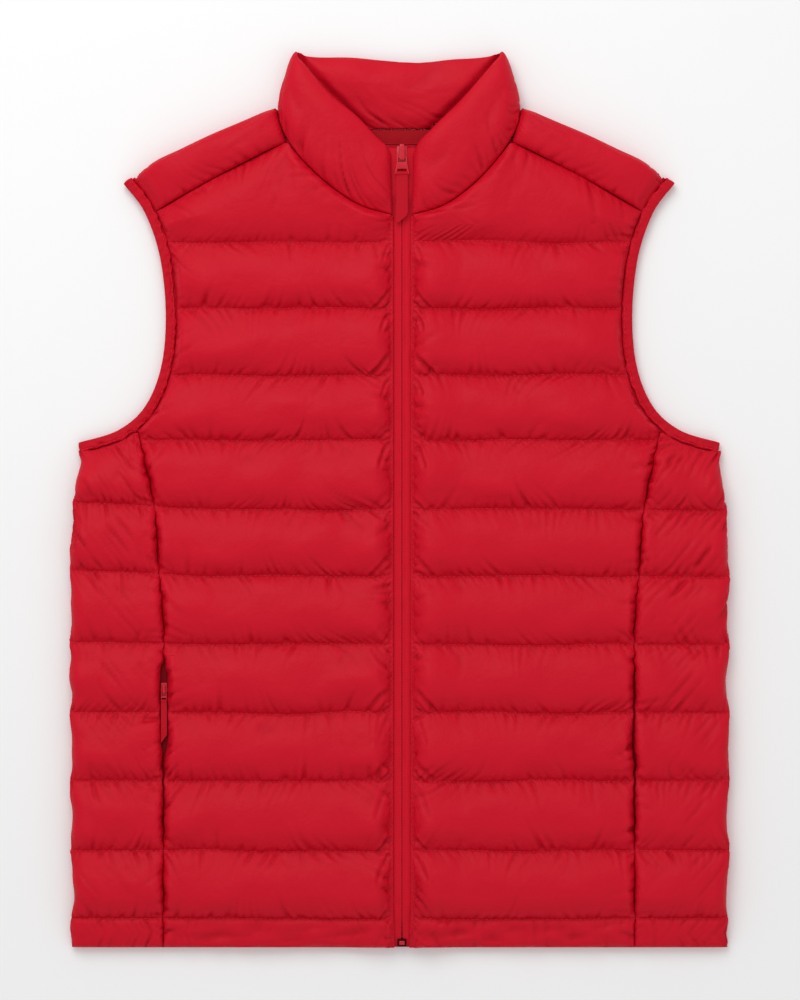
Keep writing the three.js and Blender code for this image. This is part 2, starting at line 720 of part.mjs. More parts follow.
function pocketPullTab(hingeZ) {
  const { hingeY, length, thick } = POCKET_PULL;
  const half = POCKET_PULL.half - 0.2;
  const through = [hingeZ - thick, hingeZ + thick];
  const tab = block([-half, half], [hingeY - length, hingeY], [hingeZ - thick / 2, hingeZ + thick / 2]);
  const window = block([-1.6, 1.6], [hingeY - 4.4, hingeY + 2], through);
  const slot = block([-1.6, 1.6], [hingeY - 8, hingeY - 6], through);
  return tab.subtract(window).subtract(slot).add(wire(POCKET_PULL.wire, half, hingeY, hingeZ));
}

function pocketPullStrip(hingeZ) {
  const { half, short, long, thick } = POCKET_PULL.strip;
  const bar = POCKET_PULL.hingeY - POCKET_PULL.length + 0.5;
  const loop = block([-1.3, 1.3], [bar - 1.9, bar + 1.9], [hingeZ - 1.4, hingeZ + 1.4]);
  const around = block([-2, 2], [bar - 0.8, bar + 0.8], [hingeZ - 0.85, hingeZ + 0.85]);
  const outline = [
    [-half, bar - 1.5],
    [-half, bar - long],
    [half, bar - short],
    [half, bar - 1.5],
  ];
  return loop.subtract(around).add(plate(outline, thick, hingeZ));
}

// ---- the garment ----
const CLOTH = { color: RED, roughness: 0.55 };
const BOUND = { color: RED, roughness: 0.7 };
const TAPE = { color: TAPE_RED, roughness: 0.8 };
const PAINTED = { color: TAPE_RED, roughness: 0.35, metalness: 0.2 };

const gilet = new THREE.Group();
gilet.name = "padded_gilet";

function addPiece(name, geometry, finish, x = 0) {
  const mesh = new THREE.Mesh(geometry, new THREE.MeshStandardMaterial(finish));
  mesh.name = name;
  mesh.position.x = x;
  gilet.add(mesh);
}

for (const [name, side] of Object.entries({ left: 1, right: -1 })) {
  addPiece(`front_${name}`, frontPanel(side), CLOTH);
  addPiece(`side_${name}`, sidePanel(side), CLOTH);
  addPiece(`shoulder_${name}`, shoulderPanel(side), CLOTH);
  addPiece(`armhole_binding_${name}`, armholeBinding(side), BOUND);
  addPiece(`zip_tape_${name}`, zipTape(side), TAPE);
  addPiece(`pocket_zip_${name}`, pocketZip(side), TAPE);
}
addPiece("back", backPanel(), CLOTH);
addPiece("collar", collar(), CLOTH);
addPiece("neck_tape", neckTape(), TAPE);
addPiece("zip_coil", zipCoil(), TAPE);

const hingeZ = zipTop + SEAM_GAP + SLIDER.plate + PULL.aboveDeck;
addPiece("zip_slider", geometryOf(slider()), PAINTED, BODY.zipX);
addPiece("zip_pull_tab", geometryOf(pullTab(hingeZ)), PAINTED, BODY.zipX);
addPiece("zip_pull_strip", geometryOf(pullStrip(hingeZ)), TAPE, BODY.zipX);
addPiece("zip_foot", geometryOf(zipFoot()), PAINTED, BODY.zipX);

const pocketHingeZ = pocketDeck + POCKET_PULL.aboveDeck;
const pocketX = -seamX(POCKET_PULL.hingeY);
addPiece("pocket_slider_right", geometryOf(pocketSlider()), PAINTED, pocketX);
addPiece("pocket_pull_tab_right", geometryOf(pocketPullTab(pocketHingeZ)), PAINTED, pocketX);
addPiece("pocket_pull_strip_right", geometryOf(pocketPullStrip(pocketHingeZ)), TAPE, pocketX);

export default gilet;
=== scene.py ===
"""A sleeveless padded jacket, a gilet, laid flat on its back with its front zip done up.

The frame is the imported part's: +X to the wearer's left, +Y towards the collar, +Z up from the
surface that the jacket lies on. Sizes are in millimetres, and a mesh is made from them in metres.
The right half is worked out as a left half and then mirrored.
"""

import logging
import math
from contextlib import contextmanager
from dataclasses import dataclass, fields, replace
from enum import Enum
from typing import ClassVar, Iterator, NamedTuple, Sequence

import bpy
import numpy as np
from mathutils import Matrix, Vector


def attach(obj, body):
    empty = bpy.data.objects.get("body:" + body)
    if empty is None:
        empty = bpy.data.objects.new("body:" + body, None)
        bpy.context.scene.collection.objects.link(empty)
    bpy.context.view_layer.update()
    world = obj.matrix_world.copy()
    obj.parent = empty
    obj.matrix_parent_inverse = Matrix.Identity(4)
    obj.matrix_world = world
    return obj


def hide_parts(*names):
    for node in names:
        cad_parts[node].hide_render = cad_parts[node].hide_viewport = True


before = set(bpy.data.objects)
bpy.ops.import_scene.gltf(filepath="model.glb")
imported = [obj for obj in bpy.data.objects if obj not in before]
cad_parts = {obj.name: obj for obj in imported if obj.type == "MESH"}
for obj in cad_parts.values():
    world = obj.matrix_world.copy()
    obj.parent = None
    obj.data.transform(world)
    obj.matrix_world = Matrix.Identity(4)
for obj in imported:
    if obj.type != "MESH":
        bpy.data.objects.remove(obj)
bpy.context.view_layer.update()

MM = 0.001
LOG = logging.getLogger("gilet")
GARMENT = "garment"
ZIP_PULL = "zip_pull"
POCKET_PULL = "pocket_pull"
OFF_FLOOR = 1.0

Array = np.ndarray
Piece = bpy.types.Object
Size = tuple[float, float, float]
Colour = tuple[float, float, float, float]


class Side(Enum):
    """The wearer's left and right, with the sign of X on that half."""

    LEFT = 1
    RIGHT = -1

    @property
    def word(self) -> str:
        """The side's name, as the nodes have it."""
        return self.name.lower()


class Slot(Enum):
    """The record's material slots."""

    SHELL = "shell"
    BINDING = "binding"
    TAPE = "tape"
    COIL = "coil"
    METAL = "painted_metal"


class Seed:
    """The seeds of the random draws; a piece with two halves adds its side's sign."""

    SIDE_SEAM = 7
    FRONT_LINES = 11
    FRONT = 21
    DART_SIZE = 31
    DART_DEPTH = 41
    BACK = 41
    SIDE = 61
    SIDE_DRAG = 67
    SIDE_PATCHES = 73
    SHOULDER = 81
    COLLAR = 101
    BINDING_RIPPLE = 131
    BINDING_EDGE = 137
    HEM_DENTS = 141
    ZIP_TAPE = 151
    NECK_TAPE = 171
    PULL_STRIP = 191


class Spot(NamedTuple):
    """A place on an outline, in millimetres."""

    x: float
    y: float


class Station(NamedTuple):
    """One section of the collar: seam point, top point, level, turn in degrees, and swell each way."""

    seam_x: float
    seam_y: float
    top_x: float
    top_y: float
    level: float
    turn: float
    outside: float
    inside: float


# ---- small sums on arrays ----


def clamp(t: Array) -> Array:
    """Values kept from 0 to 1."""
    return np.clip(t, 0.0, 1.0)


def ease(t: Array) -> Array:
    """A smooth step from 0 to 1."""
    return clamp(t) ** 2 * (3 - 2 * clamp(t))


def mix(a: Array, b: Array, t: Array) -> Array:
    """The value at a share of the way from a to b."""
    return a + (b - a) * t


def swell(distance: Array, reach: float) -> Array:
    """A quarter-round rise that starts at a seam and is full after its reach."""
    return np.sqrt(1 - (1 - clamp(distance / reach)) ** 2)


def bulge(distance: Array, reach: float) -> Array:
    """A rounded rise from a seam, less steep at its foot, that is full after its reach."""
    return np.sin(np.pi / 2 * clamp(distance / reach)) ** 0.8


def bell(distance: Array, reach: float | Array) -> Array:
    """A rounded bump, 1 in its middle, that dies away past its reach."""
    return np.exp(-((distance / reach) ** 2))


def unit(ways: Array) -> Array:
    """The same ways, each 1 long."""
    return ways / np.maximum(np.linalg.norm(ways, axis=-1, keepdims=True), 1e-9)


def lengths(points: Array, axis: int = 0) -> Array:
    """The distance from each point to the next one along an axis."""
    return np.linalg.norm(np.diff(points, axis=axis), axis=-1)


def running(steps: Array) -> Array:
    """The distance to each point from the first, given the steps between them."""
    return np.concatenate([[0], np.cumsum(steps)])


def across_of(grid: Array) -> Array:
    """Each place's distance along its row of a grid."""
    return np.pad(lengths(grid, 1).cumsum(axis=1), ((0, 0), (1, 0)))


def ways_of(line: Array) -> tuple[Array, Array]:
    """The unit ways along a flat line and to its right."""
    along = unit(np.gradient(line, axis=0))
    return along, np.stack([along[:, 1], -along[:, 0]], axis=1)


def grid_of(x: Array, y: Array, z: Array) -> Array:
    """The places of a grid from their three parts, rows x columns x 3."""
    return np.stack(np.broadcast_arrays(x, y, z), axis=-1)


def upwards(count: int) -> Array:
    """The same way, straight up, for each of a number of places."""
    return np.tile([0.0, 0.0, 1.0], (count, 1))


def flow(knots: Sequence[float], values: Sequence[float], at: Array) -> Array:
    """A smooth curve through a few values, with no overshoot between them.

    Args:
        knots: where the values are, in rising order.
        values: the values at the knots.
        at: where to read the curve.

    Returns:
        The curve's values, level beyond its ends.
    """
    knots = np.asarray(knots, float)
    values = np.asarray(values, float)
    at = np.clip(np.asarray(at, float), knots[0], knots[-1])
    steps = np.diff(knots)
    slopes = np.diff(values) / steps
    low, high = slopes[:-1], slopes[1:]
    total = np.where(np.abs(low + high) < 1e-12, 1.0, low + high)
    inner = np.where(low * high > 0, 2 * low * high / total, 0.0)
    tangents = np.concatenate([slopes[:1], inner, slopes[-1:]])
    i = np.clip(np.searchsorted(knots, at, side="right") - 1, 0, len(steps) - 1)
    t = (at - knots[i]) / steps[i]
    start = (1 + 2 * t) * (1 - t) ** 2 * values[i] + t * (1 - t) ** 2 * steps[i] * tangents[i]
    end = t**2 * (3 - 2 * t) * values[i + 1] + t**2 * (t - 1) * steps[i] * tangents[i + 1]
    return start + end


def read(table: Sequence[Spot], y: Array) -> Array:
    """The smooth x of an outline at y."""
    rows = sorted(table, key=lambda spot: spot.y)
    return flow([spot.y for spot in rows], [spot.x for spot in rows], y)


def rounded_line(spots: Sequence[Spot], count: int) -> Array:
    """Points evenly spaced along a smooth line through a few spots.

    Args:
        spots: the places that the line goes through.
        count: how many points to give.

    Returns:
        The points, count x 2.
    """
    given = np.array(spots, float)
    padded = np.vstack([given[:1], given, given[-1:]])
    t = np.linspace(0, 1, 60, endpoint=False)[:, None]
    pieces = []
    for a, b, c, d in zip(padded, padded[1:], padded[2:], padded[3:]):
        out = (c - a) / 2
        into = (d - b) / 2
        cubic = (2 * b - 2 * c + out + into) * t**3 + (-3 * b + 3 * c - 2 * out - into) * t**2
        pieces.append(cubic + out * t + b)
    fine = np.vstack([*pieces, given[-1:]])
    along = running(lengths(fine))
    wanted = np.linspace(0, along[-1], count)
    return np.stack([np.interp(wanted, along, fine[:, k]) for k in (0, 1)], axis=1)


def distance_to(line: Array, x: Array, y: Array) -> Array:
    """The distance from each place to the nearest point of a line.

    Args:
        line: the line's points, count x 2.
        x: the places' x.
        y: the places' y, in an array of the same shape.

    Returns:
        The distances, in the shape of x.
    """
    x, y = np.broadcast_arrays(np.asarray(x, float), np.asarray(y, float))
    least = np.full(x.shape, np.inf)
    for (ax, ay), (bx, by) in zip(line, line[1:]):
        dx, dy = bx - ax, by - ay
        share = clamp(((x - ax) * dx + (y - ay) * dy) / (dx * dx + dy * dy))
        least = np.minimum(least, np.hypot(x - ax - share * dx, y - ay - share * dy))
    return least


class Unevenness:
    """Seeded smooth unevenness over a plane, mostly from -1 to 1."""

    WAVES: ClassVar[int] = 28

    def __init__(self, seed: int, across: float, along: float) -> None:
        """Draws the waves.

        Args:
            seed: the seed of the draws.
            across: the usual length of a wave along x, in millimetres.
            along: the same along y.
        """
        draw = np.random.default_rng(seed)
        angle = draw.uniform(0, 2 * np.pi, self.WAVES)
        pace = 2 * np.pi * draw.uniform(0.55, 1.6, self.WAVES)
        self.by_x = pace * np.cos(angle) / across
        self.by_y = pace * np.sin(angle) / along
        self.phase = draw.uniform(0, 2 * np.pi, self.WAVES)

    def at(self, x: Array, y: Array) -> Array:
        """The unevenness at the given places."""
        total = np.zeros(np.broadcast(x, y).shape)
        for bx, by, phase in zip(self.by_x, self.by_y, self.phase):
            total += np.sin(bx * x + by * y + phase)
        return total / math.sqrt(self.WAVES / 2)


# ---- the garment's cut ----


@dataclass(frozen=True)
class Cut:
    """The driving dimensions and outlines that all the pieces share, in millimetres.

    Outlines run on the left half. LINES_RAISED gives how far each stitched line lies above an
    even pitch, and SIDE_TILT how far the lines of a side rise towards its fold.
    """

    seam_gap: float = 0.3
    seam_drift: float = 0.45
    seam_wave: float = 15.0
    bottom: float = -382.0
    hem: float = 23.8
    pitch: float = 57.6
    channels: int = 10
    underarm: int = 7
    armpit: float = 58.0
    zip_x: float = 2.5
    zip_half: float = 7.4
    zip_closing: float = 1.1
    closing_from: float = -348.0
    closing_run: float = 30.0
    meet_middle: float = 12.0
    meet_open: float = 5.0
    meet_fall: float = 45.0
    lift: float = 3.0
    lift_reach: tuple[float, float] = (24.0, 52.0)
    neck_blend: float = 60.0
    tilt_from: float = 150.0
    tilt_run: float = 125.0
    tilt_left: float = -0.25
    apart: float = 0.7
    stitched: float = 1.8
    binding: float = 8.6
    pocket_top: float = -132.0
    pocket_bottom: float = -292.0
    pocket_strip: float = -208.5
    pocket_slits: tuple[float, float] = (0.8, 3.15)
    slit_run: float = 20.0
    strip_room: float = 14.0
    strip_run: float = 16.0

    SIDE_FOLD: ClassVar = (
        Spot(279.5, -382), Spot(281, -300), Spot(281.5, -80), Spot(278.5, 5), Spot(272, 50),
    )
    SIDE_SEAM: ClassVar = (
        Spot(201, -382), Spot(200, -127.8), Spot(203.5, -70.2), Spot(208, -12.6), Spot(222.5, 58),
    )
    ARMHOLE: ClassVar = (
        Spot(234, 268), Spot(217, 245), Spot(204, 207), Spot(199, 158),
        Spot(203, 113), Spot(217, 79), Spot(240, 59), Spot(272, 49),
    )
    NECK: ClassVar = (
        Spot(10, 242), Spot(32, 248), Spot(52, 260), Spot(70, 275),
        Spot(85, 291), Spot(95, 304), Spot(104.5, 331),
    )
    SHOULDER_SEAM: ClassVar = (Spot(98, 304), Spot(114, 296), Spot(157, 274), Spot(207, 246))
    BACK_SEAM: ClassVar = (Spot(84, 315), Spot(207.5, 250))
    SHOULDER_FOLD: ClassVar = (
        Spot(105.6, 333.6), Spot(150, 314.5), Spot(184, 301), Spot(207, 290), Spot(226.6, 274.2),
    )
    LINES_RAISED: ClassVar = (
        Spot(0, -382), Spot(1.3, -358.2), Spot(1.7, -300.6), Spot(3.4, -243), Spot(3.8, -185.4),
        Spot(4.3, -127.8), Spot(5.1, -70.2), Spot(4.3, -12.6), Spot(5.5, 45), Spot(3.4, 102.6),
        Spot(2.6, 160.2), Spot(1.3, 217.8), Spot(0, 250),
    )
    SIDE_TILT: ClassVar = (
        Spot(0, -200), Spot(1.8, -127.8), Spot(4.2, -70.2), Spot(5.6, -12.6), Spot(2, 38), Spot(0, 57),
    )
    EDGE_POINTS: ClassVar[int] = 70

    @property
    def stitched_hem(self) -> float:
        """The y of the lowest stitched line."""
        return self.bottom + self.hem

    def raised(self, y: Array) -> Array:
        """Even levels moved to where the stitched lines really are."""
        return y + read(self.LINES_RAISED, y)

    def line(self, number: int) -> float:
        """The y of a stitched line, counted from the hem's."""
        return float(self.raised(np.array(self.stitched_hem + self.pitch * number)))

    def tilt(self, x: Array, y: Array, side: Side) -> Array:
        """How far the lines rise towards the fold, on the wearer's right most."""
        share = 1.0 if side is Side.RIGHT else self.tilt_left
        return share * read(self.SIDE_TILT, y) * ease((np.abs(x) - self.tilt_from) / self.tilt_run)

    def armhole_edge(self, inset: float, count: int = EDGE_POINTS) -> Array:
        """The armhole's edge on the left half, moved in from it by an inset."""
        line = rounded_line(self.ARMHOLE, count)
        return line + inset * ways_of(line)[1]

    def meeting(self, x: Array, y: Array) -> Array:
        """The level at which the front and back layers meet."""
        to_armhole = distance_to(self.armhole_edge(0), np.abs(x), y)
        inland = np.minimum(to_armhole, y - self.bottom)
        return mix(self.meet_open, self.meet_middle, ease(inland / self.meet_fall))

    def over_zip(self, x: Array, side: Side) -> Array:
        """How far the front layer rises over the zip's coil, on a half seen as the left one."""
        start, end = self.lift_reach
        out = np.abs(x - side.value * self.zip_x)
        return self.lift * (1 - ease((out - start) / (end - start)))

    def slit(self, y: Array, side: Side) -> Array:
        """How far a pocket's slit opens each panel beside it, most beside the pull."""
        below_top = self.pocket_top - y
        share = clamp(below_top / (self.pocket_top - self.pocket_bottom))
        thin = self.pocket_slits[0] * np.sin(np.pi * share) ** 0.6
        if side is Side.LEFT:
            return thin
        past_strip = (y - self.pocket_strip + self.strip_room) / self.strip_run
        return np.maximum(thin, self.pocket_slits[1] * ease(below_top / self.slit_run) * ease(past_strip))

    def zip_edge(self, y: Array, side: Side) -> Array:
        """The x of a front's edge beside the zip, which closes in a little at the hem."""
        closing = self.zip_closing * ease((self.closing_from - y) / self.closing_run)
        return side.value * self.zip_x + self.zip_half - closing

    def neck_shift(self, y: Array) -> Array:
        """The neck is centred on the zip at its foot and on the middle line at the shoulders."""
        return self.zip_x * (1 - ease((y - self.NECK[0].y) / self.neck_blend))

    def bound_seam_x(self, y: Array) -> Array:
        """The x of the seam between a panel and the armhole's binding."""
        line = self.armhole_edge(self.binding + self.seam_gap)
        return np.interp(y, line[::-1, 1], line[::-1, 0])

    def bound_seam_y(self, x: Array) -> Array:
        """The y of that seam at x, below the armhole's narrowest place."""
        line = self.armhole_edge(self.binding + self.seam_gap)
        low = line[np.argmin(line[:, 0]):]
        return np.interp(x, low[:, 0], low[:, 1])

    def side_seam(self, y: Array) -> Array:
        """The x of the seam between a side and its front, drawn in and out by its stitches."""
        drawn = Unevenness(Seed.SIDE_SEAM, self.seam_wave, 1).at(y, 0 * y)
        drawn *= ease((self.armpit + 4 - y) / 12)
        return read(self.SIDE_SEAM, y) + self.seam_drift * drawn * ease((y - self.bottom) / 30)

    def outer_edge(self, y: Array, shoulder: Sequence[Spot]) -> Array:
        """The half width of a front or back: shoulder seam, then binding, then side seam."""
        top = shoulder[-1].y
        seam = np.interp(y, *zip(*sorted((spot.y, spot.x) for spot in shoulder)))
        bound = self.bound_seam_x(y) - 2 * self.seam_gap
        side = self.side_seam(y) - self.seam_gap / 2
        return np.where(y >= top, seam - self.seam_gap, np.where(y > self.armpit, bound, side))


CUT = Cut()


# ---- meshes ----


def deselect() -> None:
    """Leaves object mode with nothing selected."""
    bpy.ops.object.select_all(action="DESELECT")


def take(obj: Piece) -> None:
    """Makes an object the only selected and active one."""
    deselect()
    obj.select_set(True)
    bpy.context.view_layer.objects.active = obj


def set_all(owner: object, **values: object) -> None:
    """Gives the named properties of something their values."""
    for name, value in values.items():
        setattr(owner, name, value)


def mesh_object(name: str, points: Array, faces: list[list[int]]) -> Piece:
    """An object from points in millimetres.

    Args:
        name: the object's name.
        points: the places, count x 3, in millimetres.
        faces: the corners of each face.

    Returns:
        The new object, linked to the scene.
    """
    mesh = bpy.data.meshes.new(name)
    mesh.from_pydata((points * MM).tolist(), [], faces)
    mesh.update()
    obj = bpy.data.objects.new(name, mesh)
    bpy.context.scene.collection.objects.link(obj)
    return obj


def places_of(obj: Piece) -> Array:
    """The points of an object's mesh, count x 3, in millimetres."""
    flat = np.empty(len(obj.data.vertices) * 3, np.float32)
    obj.data.vertices.foreach_get("co", flat)
    return flat.reshape(-1, 3).astype(float) / MM


def some_of(count: int, most: int) -> Array:
    """Numbers spread evenly over a count of rows or columns, from the first to the last."""
    return np.unique(np.linspace(0, count - 1, min(count, most)).round().astype(int))


def carry(chosen: Array, count: int) -> Array:
    """The weights that carry values from the chosen rows or columns to all of them."""
    return np.stack([np.interp(np.arange(count), chosen, one) for one in np.eye(len(chosen))], axis=1)


def numbered(rows: int, columns: int) -> Array:
    """The numbers of a grid's points, rows x columns."""
    return np.arange(rows * columns).reshape(rows, columns)


def cells_of(at: Array) -> Array:
    """The four-sided faces between a grid's numbered points, count x 4."""
    return np.stack([at[:-1, :-1], at[:-1, 1:], at[1:, 1:], at[1:, :-1]], axis=-1).reshape(-1, 4)


def grid_normals(grid: Array) -> Array:
    """The unit normals of a grid of points."""
    return unit(np.cross(np.gradient(grid, axis=1), np.gradient(grid, axis=0)))


def lifted(grid: Array, by: Array) -> Array:
    """The grid with each point moved along its normal."""
    return grid + grid_normals(grid) * by[..., None]


def sewn_round(grid: Array) -> Array:
    """1 along the edges of a grid and 0 inside them."""
    held = np.zeros(grid.shape[:2])
    held[:, 0] = held[:, -1] = held[0] = held[-1] = 1
    return held


def lie_of(grid: Array) -> tuple[Array, Array]:
    """How far along the cloth each column and each row of a grid is on average, in metres."""
    return running(lengths(grid, 1).mean(axis=0)) * MM, running(lengths(grid, 0).mean(axis=1)) * MM


def spots_of(u: Array, v: Array) -> Array:
    """Every place of a grid with the given columns and rows, count x 2."""
    return np.stack(np.meshgrid(u, v), axis=-1).reshape(-1, 2)


def shade_and_highlight_mask(grid: Array, normal: Array) -> Array:
    """How far each point of a grid lies in a fold: above 0 in a hollow, below 0 on a crest. The shell's
    finish paints shade into the hollows and highlight onto the crests from it.

    Args:
        grid: the places, rows x columns x 3, in millimetres.
        normal: the outward normals there.

    Returns:
        The values, rows x columns, from -1 to 1.
    """
    total = np.zeros(grid.shape[:2])
    for reach, depth, weight in ((2, 0.35, 0.5), (5, 1.6, 0.5)):
        padded = np.pad(grid, ((reach, reach), (reach, reach), (0, 0)), mode="edge")
        up = padded[2 * reach:, reach:-reach]
        down = padded[: -2 * reach, reach:-reach]
        right = padded[reach:-reach, 2 * reach:]
        left = padded[reach:-reach, : -2 * reach]
        rise = ((up + down + left + right) / 4 - grid) * normal
        total += weight * np.clip(rise.sum(axis=-1) / depth, -1, 1)
    return total


def volume_of(points: Array, faces: list[list[int]]) -> float:
    """Six times the volume that the faces enclose, below 0 where they point inwards."""
    corners = [(f[0], f[k], f[k + 1]) for f in faces for k in range(1, len(f) - 1)]
    a, b, c = (points[[t[k] for t in corners]] for k in range(3))
    return float((a * np.cross(b, c)).sum())


def cloth_object(
    name: str, points: Array, faces: list[list[int]], spots: Array, side: Side, smooth: float | None
) -> Piece:
    """A closed piece of cloth on its half, with its faces outwards and its lie in a UV map.

    Args:
        name: the piece's name.
        points: its places on the left half, count x 3, in millimetres.
        faces: the corners of each face.
        spots: how far along the cloth each point is, count x 2, in metres.
        side: the half that the piece is for.
        smooth: the angle in degrees up to which it is shaded smooth, or None for all of it.

    Returns:
        The piece.
    """
    points = points * np.array([side.value, 1, 1])
    if volume_of(points, faces) < 0:
        faces = [face[::-1] for face in faces]
    obj = mesh_object(name, points, faces)
    corners = np.empty(len(obj.data.loops), np.int32)
    obj.data.loops.foreach_get("vertex_index", corners)
    obj.data.uv_layers.new(name="cloth").data.foreach_set("uv", spots[corners].astype(np.float32).ravel())
    take(obj)
    if smooth is None:
        bpy.ops.object.shade_smooth()
    else:
        bpy.ops.object.shade_smooth_by_angle(angle=math.radians(smooth))
    return obj


@dataclass
class Skin:
    """A padded panel's outer cloth and lining, as grids of places on the left half.

    Attributes:
        outer: the outer cloth, rows x columns x 3, in millimetres.
        inner: the lining at the same rows and columns.
        held: 1 where the cloth is stitched down and 0 where it is free.
        fullness: how much longer the cloth is than what it covers, from 0 to 1.
        pleats: how far small creases lift the outer cloth, in millimetres.
        near: the distance from each place to the nearest stitching, in millimetres.
    """

    outer: Array
    inner: Array
    held: Array
    fullness: Array
    pleats: Array
    near: Array

    LINING_ROWS: ClassVar[int] = 64
    LINING_COLUMNS: ClassVar[int] = 24

    @property
    def turn(self) -> int:
        """1 where the grid's normals point out of the panel and -1 where they point into it."""
        out = (grid_normals(self.outer) * (self.outer - self.inner)).sum()
        return 1 if out > 0 else -1

    def closed(self, name: str, side: Side) -> Piece:
        """A closed body between the outer cloth and a coarser lining.

        Args:
            name: the piece's name.
            side: the half that the piece is for.

        Returns:
            The piece, with its folds, from which its finish paints shade and highlight, and its distances
            from the stitching in point attributes.
        """
        rows, columns = self.outer.shape[:2]
        creased = lifted(self.outer, self.turn * self.pleats)
        creased[..., 2] = np.maximum(creased[..., 2], 0.0)
        some_rows = some_of(rows, self.LINING_ROWS)
        some_columns = some_of(columns, self.LINING_COLUMNS)
        lining = self.inner[np.ix_(some_rows, some_columns)]
        fine = numbered(rows, columns)
        coarse = fine.size + numbered(*lining.shape[:2])
        faces = cells_of(fine).tolist() + cells_of(coarse)[:, ::-1].tolist()
        rims = (
            (fine[0], coarse[0], some_columns, 1), (fine[-1], coarse[-1], some_columns, -1),
            (fine[:, 0], coarse[:, 0], some_rows, -1), (fine[:, -1], coarse[:, -1], some_rows, 1),
        )
        for front, back, some, way in rims:
            for k, (low, high) in enumerate(zip(some, some[1:])):
                rim = [*front[low: high + 1][::-1].tolist(), *back[k: k + 2].tolist()]
                faces.append(rim[::way])
        points = np.vstack([creased.reshape(-1, 3), lining.reshape(-1, 3)])
        u, v = lie_of(self.outer)
        spots = np.vstack([spots_of(u, v), spots_of(u[some_columns], v[some_rows])])
        obj = cloth_object(name, points, faces, spots, side, None)
        # Painted shade and highlight: the fold attribute darkens the shell in the cloth's hollows and
        # lightens it on its crests.
        painted_shade_and_highlight = shade_and_highlight_mask(creased, self.turn * grid_normals(creased))
        for title, values in (("fold", painted_shade_and_highlight), ("near", self.near * MM)):
            spread = np.concatenate([values.ravel(), np.zeros(coarse.size)])
            made = obj.data.attributes.new(title, "FLOAT", "POINT")
            made.data.foreach_set("value", spread.astype(np.float32))
        return obj


@dataclass(frozen=True)
class Filling:
    """The wadding's push on the outer cloth, worked out by a cloth simulation."""

    frames: int = 12
    pressure: float = 6.0
    sag: float = 0.02
    mass: float = 0.3
    stretch: float = 15.0
    shear: float = 5.0
    bend: float = 0.08
    spare_least: float = 0.0
    spare_most: float = 0.05
    farthest: float = 14.0
    stride: int = 2
    smoothing: int = 3

    LEVELS: ClassVar[int] = 24
    QUALITY: ClassVar[int] = 5
    TOWARDS_HEM: ClassVar[Size] = (0.0, -9.81, 0.0)

    def group(self, obj: Piece, name: str, weights: Array) -> None:
        """Makes a vertex group from a weight for each point.

        Args:
            obj: the object that gets the group.
            name: the group's name.
            weights: the weights from 0 to 1, kept in a few levels.
        """
        made = obj.vertex_groups.new(name=name)
        level = np.round(clamp(weights.ravel()) * self.LEVELS).astype(int)
        for step in np.unique(level):
            if step:
                made.add(np.flatnonzero(level == step).tolist(), step / self.LEVELS, "REPLACE")

    def kept(self, held: Array) -> Array:
        """The rows or columns that the simulation works on.

        Args:
            held: 1 for each row or column that is stitched down and 0 for the others.

        Returns:
            The numbers of every stitched one and of every second one between them.
        """
        chosen = [0]
        for i in range(1, len(held)):
            if held[i] > 0.5 or i - chosen[-1] >= self.stride or i == len(held) - 1:
                chosen.append(i)
        return np.array(chosen)

    def simulated(self, start: Skin) -> Array:
        """How far each point of a cloth moves, rows x columns x 3, in millimetres."""
        rows, columns = start.outer.shape[:2]
        faces = cells_of(numbered(rows, columns))[:, :: start.turn].tolist()
        obj = mesh_object("cloth_at_work", start.outer.reshape(-1, 3), faces)
        self.group(obj, "held", start.held)
        self.group(obj, "spare", start.fullness)
        take(obj)
        cloth = obj.modifiers.new("Cloth", "CLOTH")
        set_all(
            cloth.settings, quality=self.QUALITY, mass=self.mass,
            tension_stiffness=self.stretch, compression_stiffness=self.stretch,
            shear_stiffness=self.shear, bending_stiffness=self.bend,
            vertex_group_mass="held", vertex_group_shrink="spare",
            shrink_min=-self.spare_least, shrink_max=-self.spare_most,
            use_pressure=True, uniform_pressure_force=self.pressure,
        )
        cloth.settings.effector_weights.gravity = self.sag
        set_all(cloth.collision_settings, use_collision=False, use_self_collision=False)
        set_all(cloth.point_cache, frame_start=1, frame_end=self.frames + 1)
        scene = bpy.context.scene
        scene.gravity = self.TOWARDS_HEM
        for step in range(1, self.frames + 1):
            scene.frame_set(step)
        bpy.ops.object.modifier_apply(modifier=cloth.name)
        moved = places_of(obj).reshape(rows, columns, 3) - start.outer
        bpy.data.objects.remove(obj)
        scene.frame_set(1)
        return moved

    def push(self, skin: Skin) -> Skin:
        """Blows the cloth of a panel up over its wadding and lets it settle.

        Args:
            skin: the panel before the wadding is in it.

        Returns:
            The same panel with its outer cloth where it comes to rest.
        """
        rows, columns = skin.outer.shape[:2]
        some_rows = self.kept(skin.held.mean(axis=1))
        some_columns = self.kept(skin.held.mean(axis=0))
        coarse = np.ix_(some_rows, some_columns)
        parts = {field.name: getattr(skin, field.name)[coarse] for field in fields(skin)}
        moved = self.simulated(Skin(**parts))
        moved = np.einsum("ri,ijk->rjk", carry(some_rows, rows), moved)
        moved = np.einsum("cj,rjk->rck", carry(some_columns, columns), moved)
        free = 1 - clamp(skin.held)[..., None]
        for _ in range(self.smoothing):
            padded = np.pad(moved, ((1, 1), (1, 1), (0, 0)), mode="edge")
            across = padded[1:-1, :-2] + padded[1:-1, 2:] + 2 * moved
            along = padded[:-2, 1:-1] + padded[2:, 1:-1] + 2 * moved
            moved = mix(moved, (across + along) / 8, free)
        far = np.linalg.norm(moved, axis=-1, keepdims=True)
        moved *= np.minimum(1, self.farthest / np.maximum(far, 1e-9))
        outer = skin.outer + moved
        outer[..., 2] = np.maximum(outer[..., 2], 0.0)
        return replace(skin, outer=outer)


# ---- the quilted panels ----


